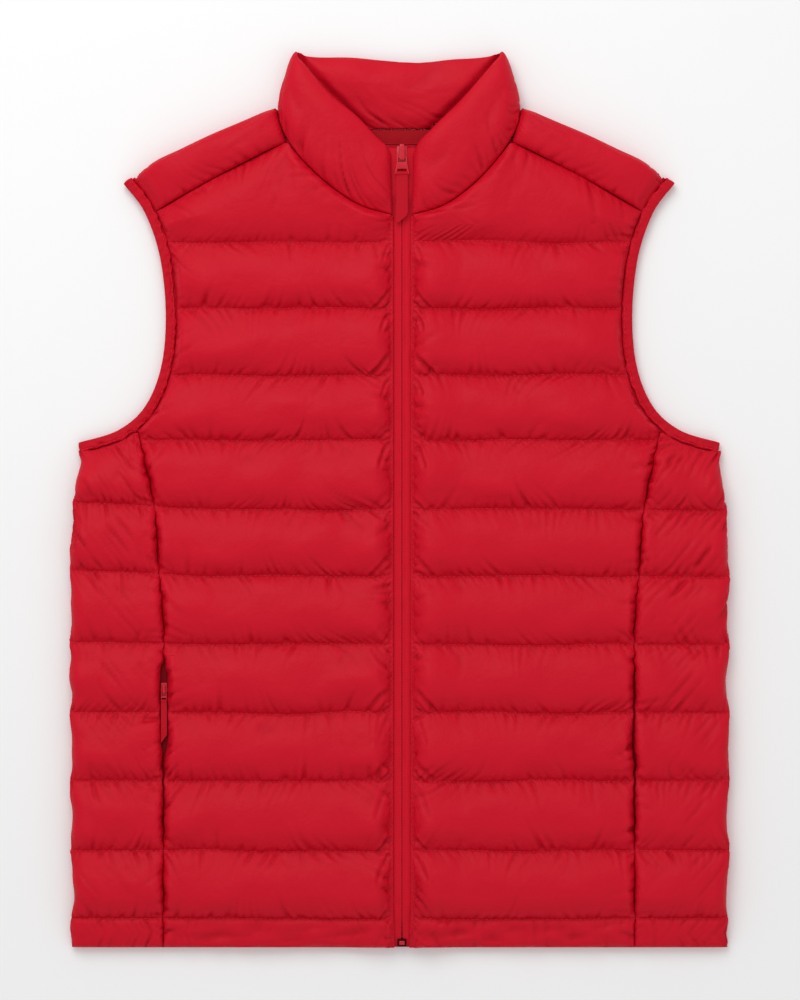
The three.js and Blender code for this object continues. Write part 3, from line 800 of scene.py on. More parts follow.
@dataclass(frozen=True)
class Gathers:
    """How unevenly the cloth is taken up where it is stitched down.

    Attributes:
        seed: the seed of the draws.
        reach: how far from the stitching the spare cloth goes.
        lump: the height of the wadding's broad unevenness.
        pleat: the usual distance from one small crease to the next.
        depth: the height of the small creases.
        length: how far the small creases reach from the stitching.
    """

    seed: int
    reach: float = 6.0
    lump: float = 0.7
    pleat: float = 8.5
    depth: float = 0.62
    length: float = 10.0

    PATCHES: ClassVar = (38.0, 30.0)
    LUMPS: ClassVar = (70.0, 46.0)
    LUMP_FROM: ClassVar[float] = 14.0
    LEAN: ClassVar[float] = 0.6
    FINE: ClassVar[float] = 0.35
    FINE_REACH: ClassVar[float] = 4.0
    SEWN_FLAT: ClassVar[float] = 1.4

    def fullness(self, x: Array, y: Array, near: Array) -> Array:
        """The share of spare cloth at each place, from 0 to 1."""
        patches = 0.62 + 0.38 * Unevenness(self.seed, *self.PATCHES).at(x, y)
        return clamp(np.exp(-near / self.reach) * patches)

    def start(self, x: Array, y: Array, near: Array) -> Array:
        """The wadding's broad lumps, in millimetres outwards."""
        return self.lump * Unevenness(self.seed + 2, *self.LUMPS).at(x, y) * clamp(near / self.LUMP_FROM)

    def pleats(self, along: Array, seam: Array, near: Array) -> Array:
        """Short creases that run out from a seam at a slant.

        Args:
            along: each place's distance along the seam.
            seam: a number for the seam that each place is nearest to.
            near: the distance from each place to that seam.

        Returns:
            How far the cloth is lifted, in millimetres.
        """
        lean = self.LEAN * Unevenness(self.seed + 3, 150, 1.0).at(along, seam)
        spot = along + lean * near
        wave = Unevenness(self.seed + 4, self.pleat, 1.3).at(spot, seam)
        extent = self.length * (1 + 0.45 * Unevenness(self.seed + 5, 28, 0.9).at(spot, seam))
        fade = bell(near, np.maximum(extent, 3))
        fine = Unevenness(self.seed + 6, 0.5 * self.pleat, 1.3).at(spot, seam)
        short = bell(near, self.FINE_REACH)
        valleys = 0.3 - np.maximum(wave, 0) ** 1.2 - 0.35 * wave
        return self.depth * (valleys * fade - self.FINE * fine * short) * clamp(near / self.SEWN_FLAT)


class Rows(NamedTuple):
    """The rows of a panel's grid, from its hem upwards.

    Attributes:
        y: each row's y.
        high: its share of a channel's full swell.
        rise: its swell as part of the hem.
        near: its distance from the nearest stitched line.
        seam: that line's number, with a fraction in the upper half of a channel.
    """

    y: Array
    high: Array
    rise: Array
    near: Array
    seam: Array

    def then(self, *more: "Rows") -> "Rows":
        """These rows with others above them."""
        return Rows(*(np.concatenate(part) for part in zip(self, *more)))


@dataclass(frozen=True)
class Quilting:
    """The rows of a quilted panel: a hem, then channels between stitched lines.

    Attributes:
        cell: the size of the grid's squares.
        flat: half the width of the flat strip that a stitched line presses.
        hem_rows: rows over the hem.
        fullest: the share of a channel's height at which it is fullest.
        crowding: how much closer the rows are at the stitched lines.
    """

    cell: float = 1.8
    flat: float = 0.28
    hem_rows: int = 13
    hem_swell: float = 3.7
    fullest: float = 0.37
    crowding: float = 0.55

    def profile(self, share: Array) -> Array:
        """How full a channel is at a share of its height: it rests a little low."""
        return bulge(share, self.fullest) * bulge(1 - share, 1 - self.fullest) ** 1.15

    def spaced(self, count: int) -> Array:
        """Rising shares from 0 to 1, closer together at both ends."""
        even = np.linspace(0, 1, count)
        return even - self.crowding * np.sin(2 * np.pi * even) / (2 * np.pi)

    def channel(self, low: float, tall: float, count: int, number: int) -> Rows:
        """The rows of one channel.

        Args:
            low: the y of its lowest row.
            tall: its height.
            count: how many rows it has.
            number: the number of the stitched line below it.

        Returns:
            Its rows.
        """
        share = self.spaced(count)
        near = tall * np.minimum(share, 1 - share)
        seam = number + np.where(share > 0.5, 0.6, 0.0)
        return Rows(low + tall * share, self.profile(share), np.zeros_like(share), near, seam)

    def rows(self, channels: int) -> Rows:
        """The rows from the hem's edge to the top line of the given number of channels."""
        top = CUT.stitched_hem - self.flat
        y = np.linspace(CUT.bottom, top, self.hem_rows)
        share = (y - CUT.bottom) / (top - CUT.bottom)
        rise = self.hem_swell * swell(share * (1 - share), 0.25)
        hem = Rows(y, np.zeros_like(y), rise, np.minimum(y - CUT.bottom, top - y), np.full_like(y, -0.5))
        tall = CUT.pitch - 2 * self.flat
        count = round(CUT.pitch / self.cell)
        lows = [CUT.stitched_hem + CUT.pitch * number + self.flat for number in range(channels)]
        every = hem.then(*(self.channel(low, tall, count, number) for number, low in enumerate(lows)))
        return every._replace(y=CUT.raised(every.y))


@dataclass(frozen=True)
class FrontPanel:
    """A front: ten channels, a plain yoke, and a stitched edge beside the zip."""

    quilting: Quilting = Quilting()
    filling: Filling = Filling()
    swell: float = 11.0
    zip_reach: float = 15.0
    seam_reach: float = 6.5
    yoke: float = 26.0
    yoke_rows: int = 46
    facing: float = 1.8
    facing_columns: int = 3
    columns: int = 150
    drift: float = 1.0
    dart: float = 1.8
    neck_edge: float = 4.2
    neck_in: float = 0.35
    neck_reach: float = 3.0
    yoke_calm: float = 0.62
    neck_points: int = 30
    line_calm: float = 14.0
    edge_calm: float = 12.0
    hem_edge: float = 5.0
    pleat_edge: float = 4.0
    facing_bow: float = 0.55
    dents: float = 0.2
    upper_pleats: float = 0.6
    end_pleats: tuple[float, float] = (1.5, 1.2)
    dart_ridge: float = 0.45
    ridge_off: float = 1.9

    LINE_WANDER: ClassVar = (150.0, 60.0)
    DENTS: ClassVar = (34.0, 16.0)
    YOKE_SEAM: ClassVar[int] = 20
    END_SEAM: ClassVar[int] = 40
    DARTS: ClassVar = (
        ((15.0, 0.8), (9.5, 6.0), (2.5, 14.0), 1.0, 1.45),
        ((9.0, 0.8), (5.5, 4.0), (1.5, 8.0), 0.85, 1.1),
        ((1.5, 3.0), (5.5, 9.0), (8.5, 18.0), 0.75, 1.3),
        ((1.5, 1.0), (3.5, 3.0), (5.0, 7.0), 0.5, 1.0),
    )

    def darts(self, from_zip: Array, near_line: Array, seam: Array) -> Array:
        """How far the slanted creases in the channels' corners beside the zip sink the cloth.

        Args:
            from_zip: each place's distance from the zip's edge.
            near_line: its distance from the nearest stitched line.
            seam: that line's number, with a fraction in the upper half of a channel.

        Returns:
            Depths in millimetres, below nothing where the cloth stands up beside a crease.
        """
        total = np.zeros_like(from_zip)
        for number, (start, middle, end, depth, width) in enumerate(self.DARTS):
            uneven = 1 + 0.3 * Unevenness(Seed.DART_SIZE + number, 9, 1.1).at(0 * seam, seam * 7)
            deep = 0.75 + 0.6 * Unevenness(Seed.DART_DEPTH + number, 9, 1.1).at(0 * seam, seam * 9)
            deep = np.clip(deep, 0.15, 1.3)
            reach = distance_to(np.array([start, middle, end]), from_zip / uneven, near_line / uneven)
            here = (np.mod(seam, 1) > 0.3) == (number > 1)
            ridge = self.dart_ridge * bell(reach - self.ridge_off * width, width)
            total += np.where(here, self.dart * depth * deep * (bell(reach, width) - ridge), 0)
        return total

    def across(self, start: Array, end: Array) -> Array:
        """The x of each column, from the zip to the outer edge.

        Args:
            start: the x of the zip's edge at each row.
            end: the x of the outer edge at each row.

        Returns:
            The places, rows x columns.
        """
        facing = np.linspace(0, self.facing, self.facing_columns, endpoint=False)
        share = np.linspace(0, 1, self.columns - self.facing_columns)
        width = (end - start)[:, None]
        cloth = self.facing + (width - self.facing) * share
        return start[:, None] + np.hstack([np.broadcast_to(facing, (len(start), len(facing))), cloth])

    def top_line(self, side: Side) -> Array:
        """The neck seam and then the shoulder seam, as points from the zip outwards."""
        neck_y = np.linspace(CUT.NECK[0].y, CUT.SHOULDER_SEAM[0].y - 1, self.neck_points)
        neck_x = read(CUT.NECK, neck_y) - self.neck_in + side.value * CUT.neck_shift(neck_y)
        seam = [(spot.x - CUT.seam_gap, spot.y - CUT.seam_gap) for spot in CUT.SHOULDER_SEAM]
        return np.vstack([np.stack([neck_x, neck_y + self.neck_in / 2], axis=1), seam])

    def skin(self, side: Side) -> Skin:
        """The panel before its wadding swells it."""
        y, high, rise, near_line, seam = self.quilting.rows(CUT.channels)
        body = len(y)
        zip_edge = CUT.zip_edge(y, side)
        end = CUT.outer_edge(y, CUT.SHOULDER_SEAM) - CUT.slit(y, side)
        top = self.top_line(side)
        low = CUT.line(CUT.channels) + self.quilting.flat
        up = np.linspace(0, 1, self.yoke_rows)
        outer_y = mix(low, top[-1, 1], up)
        yoke_x = self.across(np.full_like(up, zip_edge[-1]), CUT.bound_seam_x(outer_y) - 2 * CUT.seam_gap)
        top_y = np.interp(yoke_x[-1], top[:, 0], top[:, 1])

        def whole(channels: Array, yoke: Array) -> Array:
            """The channels' rows, each with one value, and the yoke's rows above them."""
            return np.vstack([np.broadcast_to(channels[:, None], (body, self.columns)), yoke])

        x = np.vstack([self.across(zip_edge, end), yoke_x])
        y = whole(y, mix(low, top_y[None, :], up[:, None]))
        from_zip = x - x[:, :1] - self.facing
        to_neck = distance_to(top[: self.neck_points], x, y)
        from_seam = np.minimum(x[:, -1:] - x, to_neck)
        from_edge = np.minimum(from_zip, from_seam)
        to_shoulder = distance_to(top[self.neck_points:], x[body:], y[body:])
        to_lines = np.minimum(y[body:] - low, to_shoulder)
        channel = whole(high, bulge(to_lines, self.yoke))
        to_line = whole(near_line, to_lines)
        seam = whole(seam, self.YOKE_SEAM + (y[body:] > low + 15))
        near = np.maximum(np.minimum(to_line, from_edge), 0)
        fade = ease(near / self.line_calm) + 0.6 * ease(from_edge / 20) * (near < self.line_calm)
        wander = self.drift * Unevenness(Seed.FRONT_LINES + side.value, *self.LINE_WANDER).at(x, y)
        free = (y > CUT.bottom + 1) * ease(from_edge / self.edge_calm)
        y_drawn = y + wander * np.minimum(fade, 1) * free
        y_drawn[:body] += CUT.tilt(x, y, side)[:body]
        inner = CUT.meeting(x, y) + CUT.apart + CUT.over_zip(x, side)
        gathers = Gathers(seed=Seed.FRONT + side.value)
        lift = self.swell * channel * bulge(from_zip, self.zip_reach) * bulge(from_seam, self.seam_reach)
        dents = 1 + self.dents * Unevenness(Seed.HEM_DENTS + side.value, *self.DENTS).at(x, y)[:body]
        lift[:body] += rise[:, None] * swell(from_edge[:body], self.hem_edge) * dents
        lift += gathers.start(x, y, near) * (near > 0)
        lift[body:] += self.neck_edge * np.exp(-to_neck[body:] / self.neck_reach)
        on_facing = from_zip < -0.01
        z = inner + CUT.stitched + np.where(on_facing, self.facing_bow * np.cos(from_zip * 0.7), lift)
        held = sewn_round(x)
        held[:, : self.facing_columns + 1] = 1
        held[:body][near_line < 0.01] = 1
        held[body] = 1
        upper = np.mod(seam, 1) > 0.3
        pleats = gathers.pleats(x, seam, to_line) * ease(from_edge / self.pleat_edge)
        pleats *= np.where(upper, self.upper_pleats, 1.0)
        at_ends = gathers.pleats(y, self.END_SEAM + (x > x.mean()), np.maximum(from_edge, 0))
        at_ends *= np.where(from_zip < from_seam, *self.end_pleats)
        pleats += at_ends * ease(to_line / self.pleat_edge)
        pleats[:body] -= (self.darts(from_zip, to_line, seam) * ease(from_zip / 2))[:body]
        pleats[body:] *= self.yoke_calm
        outer, lining = grid_of(x, y_drawn, z), grid_of(x, y, inner)
        return Skin(outer, lining, held, gathers.fullness(x, y, near), pleats, near)


@dataclass(frozen=True)
class BackPanel:
    """The back: eleven channels and a plain yoke, pressed flat on the surface below."""

    quilting: Quilting = Quilting(cell=2.4)
    filling: Filling = Filling(frames=8)
    press: float = 1.12
    pressed: float = 0.86
    edge: float = 16.0
    hem_press: float = 0.4
    hem_edge: float = 9.0
    pleat_edge: float = 4.0
    columns: int = 150
    top_rows: int = 24
    yoke_rows: int = 18

    def skin(self) -> Skin:
        """The panel before its wadding swells it."""
        rows = self.quilting.rows(CUT.channels)
        from_hem = np.minimum(rows.y - CUT.bottom, CUT.stitched_hem - rows.y)
        in_hem = self.hem_press * swell(from_hem, self.hem_edge)
        rows = rows._replace(high=np.where(rows.y < CUT.stitched_hem, in_hem, rows.high))
        flat = self.quilting.flat
        lines = [CUT.line(CUT.channels), CUT.line(CUT.channels + 1), CUT.BACK_SEAM[0].y - CUT.seam_gap]
        for low, top, count in zip(lines, lines[1:], (self.top_rows, self.yoke_rows)):
            y = np.linspace(low + flat, top - (flat if top != lines[-1] else 0), count)
            room = np.minimum(y - y[0], y[-1] - y)
            rows = rows.then(Rows(y, swell(room, self.edge), 0 * y, room, low / 50 + (y > y.mean())))
        y, high, _, near, seam = rows
        edge = CUT.outer_edge(y, CUT.BACK_SEAM)[:, None]
        x = edge * np.linspace(-1, 1, self.columns)
        y = np.broadcast_to(y[:, None], x.shape)
        from_edge = edge - np.abs(x)
        to_line = np.broadcast_to(near[:, None], x.shape)
        near = np.minimum(to_line, from_edge)
        inner = CUT.meeting(x, y) - CUT.apart
        gathers = Gathers(seed=Seed.BACK, lump=0.4, depth=0.5)
        full = np.minimum(1, self.press * high[:, None] * swell(from_edge, self.edge))
        z = (inner - CUT.stitched) * (1 - self.pressed * full) - gathers.start(x, y, near) * (near > 0)
        held = (near < 0.01).astype(float)
        pleats = gathers.pleats(x, seam[:, None], to_line) * ease(from_edge / self.pleat_edge)
        fullness = gathers.fullness(x, y, near)
        return Skin(grid_of(x, y, z), grid_of(x, y, inner), held, fullness, pleats, near)


@dataclass(frozen=True)
class SidePanel:
    """A side: from its front seam over the fold to its seam on the back."""

    quilting: Quilting = Quilting()
    filling: Filling = Filling()
    swell: float = 9.5
    edge: float = 7.0
    fold: float = 12.0
    fold_level: float = 262.0
    wall: float = 6.0
    notch: float = 0.9
    drawn_in: float = 2.7
    corner: float = 2.2
    fuller: float = 1.3
    drag: float = 1.15
    drag_pitch: float = 10.0
    drag_slant: float = 0.95
    drag_up: tuple[float, float] = (-190.0, 110.0)
    drag_out: tuple[float, float] = (200.0, 50.0)
    drag_least: float = 0.35
    drag_rest: float = 0.3
    drag_edge: float = 5.0
    patches: tuple[float, float] = (0.55, 0.75)
    pleat_edge: float = 4.0
    press: float = 1.12
    pressed: float = 0.9
    hem_press: float = 0.4
    hem_edge: float = 5.0
    hem_in: float = 0.5
    corner_run: tuple[float, float] = (22.0, 20.0)
    on_top: int = 42
    round_fold: int = 24
    below: int = 32
    armpit_rows: int = 42

    HALF_WAY: ClassVar[int] = 50
    FAR: ClassVar[float] = 99.0
    END_SEAM: ClassVar[int] = 40
    DRAG_LONG: ClassVar[float] = 150.0
    PATCHES: ClassVar = (60.0, 42.0)

    def skin(self, side: Side) -> Skin:
        """The panel before its wadding swells it."""
        low = CUT.line(CUT.underarm - 1) + self.quilting.flat
        top = CUT.armpit - 1
        rows = self.quilting.rows(CUT.underarm - 1)
        up = np.concatenate([np.zeros(len(rows.y)), self.quilting.spaced(self.armpit_rows)])
        rows = rows.then(self.quilting.channel(low, top - low, self.armpit_rows, CUT.underarm - 1))
        y, high, rise, near, line, up = (part[:, None] for part in (*rows, up))
        seam = CUT.side_seam(y) + CUT.seam_gap / 2
        edge_top = seam + CUT.slit(y, side)
        on_hem = y < CUT.line(0)
        drawn_in = np.where(on_hem, self.hem_in, self.notch * (1 - high) + self.drawn_in * high)
        below, run = self.corner_run
        corner = self.corner * ease((y - CUT.armpit + below) / run)
        out = read(CUT.SIDE_FOLD, y) - drawn_in
        out += corner + (side is Side.LEFT) * self.fuller
        turned = out - self.fold
        upper_x = mix(edge_top, turned, np.linspace(0, 1, self.on_top))
        lower_x = mix(turned, seam, np.linspace(0, 1, self.below))
        angle = np.linspace(np.pi / 2, -np.pi / 2, self.round_fold + 2)[1:-1]
        x = np.hstack([upper_x, turned + self.fold * np.cos(angle), lower_x])

        def level_y(at: Array) -> Array:
            """The y of each place, which the armhole's curve bends in the top channel."""
            highest = np.minimum(top, CUT.bound_seam_y(at) - 2 * CUT.seam_gap)
            return np.where(up > 0, mix(low, highest, up), y)

        flat_x = np.minimum(x, turned)
        ys = level_y(flat_x)
        behind = np.linspace(0, 1, self.below) * np.ones_like(y)
        ahead = np.hstack([np.ones((len(y), self.on_top + self.round_fold)), 1 - behind])
        ys = ys + CUT.tilt(x, ys, side) * (1 - up) * ahead
        middle = CUT.meeting(np.minimum(flat_x, self.fold_level), ys)
        from_top = x - edge_top
        from_below = x - seam
        upper = slice(0, self.on_top)
        bend = slice(self.on_top, self.on_top + self.round_fold)
        lower = slice(self.on_top + self.round_fold, None)
        z = np.empty_like(x)
        crown = self.swell * high * swell(from_top, self.edge) + rise * swell(from_top, self.hem_edge)
        z[:, upper] = (middle + CUT.apart + CUT.stitched + crown)[:, upper]
        hang = middle - CUT.apart - CUT.stitched
        pressed = np.minimum(1, self.press * high * swell(from_below, self.edge))
        hem_press = self.hem_press * swell(rise, self.quilting.hem_swell)
        z[:, lower] = (hang * (1 - np.maximum(self.pressed * pressed, hem_press)))[:, lower]
        base = middle[:, upper][:, -1:]
        crest = z[:, upper][:, -1:]
        foot = z[:, lower][:, :1]
        reach = np.where(np.sin(angle) > 0, crest - base, base - foot)
        z[:, bend] = base + reach * np.sin(angle)
        inner_z = np.empty_like(x)
        inner_z[:, upper] = (middle + CUT.apart)[:, upper]
        inner_z[:, lower] = (middle - CUT.apart)[:, lower]
        inner_z[:, bend] = base + CUT.apart * np.sin(angle)
        inner_x = x.copy()
        inner_x[:, bend] = turned + (self.fold - self.wall) * np.cos(angle)
        number = np.arange(x.shape[1])
        seams = np.where(number < self.HALF_WAY, np.minimum(from_top, self.FAR), self.FAR)
        seams = np.where(number > self.HALF_WAY, np.minimum(from_below, self.FAR), seams)
        to_line = near + 0 * x
        near = np.maximum(np.minimum(near, seams), 0)
        along = number * self.quilting.cell + 0 * y
        gathers = Gathers(seed=Seed.SIDE + side.value)
        outer = lifted(grid_of(x, ys, z), gathers.start(along, ys, near) * (near > 0) * (z > OFF_FLOOR))
        held = sewn_round(x)
        held[near < 0.01] = 1
        off_ends = ease(np.minimum(from_top, from_below) / self.pleat_edge)
        pleats = gathers.pleats(along, line, to_line) * off_ends
        at_ends = gathers.pleats(ys, self.END_SEAM + 0 * x, np.maximum(seams, 0))
        pleats += at_ends * ease(to_line / self.pleat_edge)
        waves = Unevenness(Seed.SIDE_DRAG + side.value, self.drag_pitch, self.DRAG_LONG)
        pulled = waves.at(along - self.drag_slant * ys, ys)
        upward = mix(self.drag_least, 1, ease((ys - self.drag_up[0]) / self.drag_up[1]))
        level, depth = self.patches
        uneven = Unevenness(Seed.SIDE_PATCHES + side.value, *self.PATCHES).at(along, ys)
        patchy = clamp(level + depth * uneven)
        outward = mix(self.drag_least, 1, ease((x - self.drag_out[0]) / self.drag_out[1]))
        pull = self.drag * (self.drag_rest - np.maximum(pulled, -self.drag_rest))
        drag = pull * upward * patchy * outward
        pleats += drag * ease(near / self.drag_edge) * (z > OFF_FLOOR)
        fullness = gathers.fullness(along, ys, near)
        return Skin(outer, grid_of(inner_x, ys, inner_z), held, fullness, pleats, near)


@dataclass(frozen=True)
class ShoulderPanel:
    """A shoulder: from its front seam over the shoulder's fold to its seam on the back."""

    filling: Filling = Filling()
    swell: float = 8.0
    rows: int = 64
    up: int = 22
    nose: int = 12
    nose_from: float = 0.84
    press: float = 1.1
    pressed: float = 0.85
    end_reach: float = 0.16
    neck_reach: float = 0.07
    neckward: float = 2.2
    neckward_reach: float = 0.12
    nose_short: tuple[float, float] = (0.004, 0.01)
    tip_from: float = 0.86
    tip_up: float = 0.4
    lining_pull: float = 0.10
    fold_held: float = 0.25

    BOUND_POINTS: ClassVar[int] = 400

    def skin(self) -> Skin:
        """The panel before its wadding swells it."""
        along = np.linspace(0, 1, self.rows)
        seam_y = mix(CUT.SHOULDER_SEAM[0].y, CUT.SHOULDER_SEAM[-1].y + self.tip_up, along)
        xs, ys = zip(*[(spot.x, spot.y) for spot in reversed(CUT.SHOULDER_SEAM)])
        clear = CUT.seam_gap
        front = np.stack([np.interp(seam_y, ys, xs) + clear, seam_y + clear], axis=1)
        back = mix(np.array(CUT.BACK_SEAM[0]), np.array(CUT.BACK_SEAM[1]), along[:, None]) + clear
        crest = rounded_line(CUT.SHOULDER_FOLD, self.rows)
        high = np.minimum(swell(along, self.neck_reach), swell(1 - along, self.end_reach))[:, None]
        to_neck = self.neckward * (1 - ease(along / self.neckward_reach))[:, None]
        climb = np.linspace(0, self.nose_from, self.up)
        angle = np.linspace(0, np.pi / 2, self.nose + 1)[1:]
        round_nose = self.nose_from + (1 - self.nose_from) * np.sin(angle)
        reach = 1 - mix(*self.nose_short, high)
        bound = CUT.armhole_edge(CUT.binding + clear, self.BOUND_POINTS)
        tipward = ease((along - self.tip_from) / (1 - self.tip_from))

        def half(edge: Array, sign: float) -> tuple[Array, Array, Array]:
            """The places, levels and lining levels from a seam to the middle of the fold."""
            share = np.concatenate([climb, round_nose])[None, :] * np.where(
                np.arange(self.up + self.nose) < self.up, 1, reach
            )
            at = edge[:, None, :] + (crest - edge)[:, None, :] * share[..., None]
            apart = np.linalg.norm(at[-1][:, None] - bound[None], axis=-1)
            at += tipward[:, None, None] * (bound[np.argmin(apart, axis=1)] - at[-1])
            at[..., 0] -= to_neck * (1 - share)
            middle = CUT.meeting(at[..., 0], at[..., 1])
            base = middle[:, self.up - 1: self.up]
            rising = swell(share / 0.5, 1)
            if sign > 0:
                surface = middle + CUT.apart + CUT.stitched + self.swell * high * rising
            else:
                pressing = np.minimum(1, self.press * high * rising)
                surface = (middle - CUT.apart - CUT.stitched) * (1 - self.pressed * pressing)
            edge_level = surface[:, self.up - 1: self.up]
            surface[:, self.up:] = base + (edge_level - base) * np.cos(angle)
            lining = middle + sign * CUT.apart
            lining[:, self.up:] = base + sign * CUT.apart * np.cos(angle)
            return at, surface, lining

        top, top_z, top_in = half(front, 1)
        low, low_z, low_in = half(back, -1)
        places = np.concatenate([top, low[:, -2::-1]], axis=1)
        z = np.concatenate([top_z, low_z[:, -2::-1]], axis=1)
        inner_z = np.concatenate([top_in, low_in[:, -2::-1]], axis=1)
        outer = np.concatenate([places, z[..., None]], axis=-1)
        pulled = places.copy()
        middle = self.up + self.nose - 1
        pulled[:, self.up: -self.up] += self.lining_pull * (front + back - 2 * crest)[:, None, :] / 2
        lining = np.concatenate([pulled, inner_z[..., None]], axis=-1)
        width = across_of(outer)
        length = np.linalg.norm(crest[-1] - crest[0])
        near = np.minimum(width, width[:, -1:] - width)
        near = np.minimum(near, (length * np.minimum(along, 1 - along))[:, None])
        gathers = Gathers(seed=Seed.SHOULDER)
        across = np.broadcast_to((length * along)[:, None], near.shape)
        outer = lifted(outer, gathers.start(across, width, near) * (z > OFF_FLOOR))
        held = (near < 0.01).astype(float)
        held[:, middle] = np.maximum(held[:, middle], self.fold_held)
        pleats = gathers.pleats(across, np.sign(width - width.mean()), near)
        return Skin(outer, lining, held, gathers.fullness(across, width, near), pleats, near)


@dataclass(frozen=True)
class Collar:
    """The stand collar: one padded band from the zip round the back of the neck to the zip again."""

    filling: Filling = Filling(pressure=3.0)
    cell: float = 2.3
    rise: int = 26
    edge: float = 0.30
    foot: float = 0.42
    sunk: float = 1.3
    shaded: float = 4.4
    lean: float = 2.5
    shade_reach: float = 4.0
    folded_calm: float = 0.8
    share_of_swell: float = 0.78
    end_reach: float = 14.0
    core_top: float = 0.85
    folded: float = 120.0
    sunk_to: float = 0.25
    lying: float = 40.0
    lean_turn: float = 60.0
    top_half: float = 0.15
    end_share: float = 0.6
    top_held: float = 0.3
    end_calm: float = 3.0
    pleat_edge: float = 7.0
    inside_from: float = 60.0
    round_steps: int = 10

    STATIONS: ClassVar = (
        Station(8.6, 242.6, 9.6, 294, 19.2, 0, 2.5, 1),
        Station(16.5, 244.4, 13.2, 302, 19.6, 0, 8, 2.5),
        Station(32, 248.8, 24, 312, 20, 0, 11, 3.5),
        Station(51.4, 260.6, 40, 328, 20, 0, 11, 3.5),
        Station(69.3, 275.6, 56, 344, 20, 0, 11, 3.5),
        Station(84.2, 291.6, 70, 359, 19.5, 5, 10.5, 3.5),
        Station(94.5, 306.4, 80, 370, 18.5, 15, 9, 3),
        Station(101, 322, 86.5, 378, 15.5, 50, 6, 2.5),
        Station(102.4, 333.2, 88, 382, 11, 90, 4.5, 2),
        Station(95.4, 325.4, 85, 381, 7.5, 140, 6, 2.5),
        Station(82, 316, 76, 378.5, 6.5, 180, 6.5, 6),
        Station(42, 316, 40, 376, 6.5, 180, 6.5, 7),
        Station(0, 316, 0, 375, 6.5, 180, 6.5, 7),
    )

    def stations(self) -> dict[str, Array]:
        """The collar's sections at even steps from the left end round to the right end.

        Returns:
            Each named size along the collar, and the side that each section is on.
        """
        given = np.array(self.STATIONS, float)
        step = np.hypot(np.diff(given[:, 0]), np.diff(given[:, 1]))
        knots = running(step + np.abs(np.diff(given[:, 4])))
        count = round(knots[-1] / self.cell)
        at = np.linspace(0, knots[-1], count)
        half = {name: flow(knots, given[:, k], at) for k, name in enumerate(Station._fields)}
        whole = {name: np.concatenate([row, row[-2::-1]]) for name, row in half.items()}
        whole["side"] = np.concatenate([np.ones(count), -np.ones(count - 1)])
        whole["along"] = np.concatenate([at, 2 * at[-1] - at[-2::-1]])
        return whole

    def wing_edge(self) -> Array:
        """The wings' top edge as points, under which the back half dips."""
        return np.array([(spot.top_x, spot.top_y) for spot in self.STATIONS[:8]])

    def skin(self) -> Skin:
        """The band before its wadding swells it: up its outside, over its top edge, down its inside."""
        s = {name: row[:, None] for name, row in self.stations().items()}
        shift = np.where(s["turn"] < 90, CUT.neck_shift(s["seam_y"]), 0)
        turn = np.radians(s["turn"])
        way = np.concatenate([s["side"] * np.sin(turn), 0 * turn, np.cos(turn)], axis=1)
        seam = np.concatenate([s["side"] * s["seam_x"] + shift, s["seam_y"], s["level"]], axis=1)
        top = np.concatenate([s["side"] * s["top_x"] + shift, s["top_y"], s["level"]], axis=1)
        flat = np.linspace(0, 1 - self.edge, self.rise)
        round_top = 1 - self.edge + self.edge * np.sin(np.linspace(0, np.pi / 2, self.round_steps))[1:]
        up = np.concatenate([flat, round_top])
        full = np.where(up < 0.5, bulge(up, self.foot), swell(1 - up, self.edge))
        ends = np.minimum(s["along"] - s["along"][0], s["along"][-1] - s["along"])
        taper = swell(ends, self.end_reach)

        def middle(share: Array) -> Array:
            """The band's middle at shares of the way from its seam to its top edge."""
            line = seam[:, None, :] + (top - seam)[:, None, :] * share[None, :, None]
            line[..., 2] -= self.sunk * (1 - ease(share / self.sunk_to)) * (s["turn"] < self.lying)
            line[..., 2] += self.lean * share * ease((s["turn"] - self.folded) / self.lean_turn)
            return line

        def face(size: Array, sign: float) -> Array:
            """One face of the band, from its seam to its top edge."""
            edge = np.where(up > 0.5, self.top_half, 0.5 * CUT.stitched)
            thick = mix(edge, size * self.share_of_swell * mix(self.end_share, 1, taper), full)
            return middle(up) + sign * way[:, None, :] * thick[..., None]

        outside = face(s["outside"], 1)
        inside = face(s["inside"], -1)
        behind = (s["turn"] > self.folded) * 1.0
        under = distance_to(self.wing_edge(), np.abs(inside[..., 0]), inside[..., 1])
        inside[..., 2] -= self.shaded * behind * bell(under, self.shade_reach)
        outer = np.concatenate([outside, inside[:, -2::-1]], axis=1)
        core = middle(np.linspace(0, self.core_top, up.size))
        lining = np.concatenate([core, core[:, -2::-1]], axis=1)
        width = across_of(outer)
        near_seam = np.minimum(width, width[:, -1:] - width)
        near = np.minimum(near_seam, ends)
        gathers = Gathers(seed=Seed.COLLAR, pleat=9, depth=1.25, length=21)
        along = np.broadcast_to(s["along"], near.shape)
        calm = 1 - self.folded_calm * np.sin(turn)
        outer = lifted(outer, calm * gathers.start(along, width, near))
        held = sewn_round(width)
        held[:, up.size - 1] = np.maximum(held[:, up.size - 1], self.top_held)
        pleats = gathers.pleats(along, np.sign(width - self.inside_from), near_seam)
        pleats *= ease(ends / self.end_calm) * ease(near / self.pleat_edge) * calm
        return Skin(outer, lining, held, gathers.fullness(along, width, near), pleats, near)


# ---- tapes, bindings and strips ----


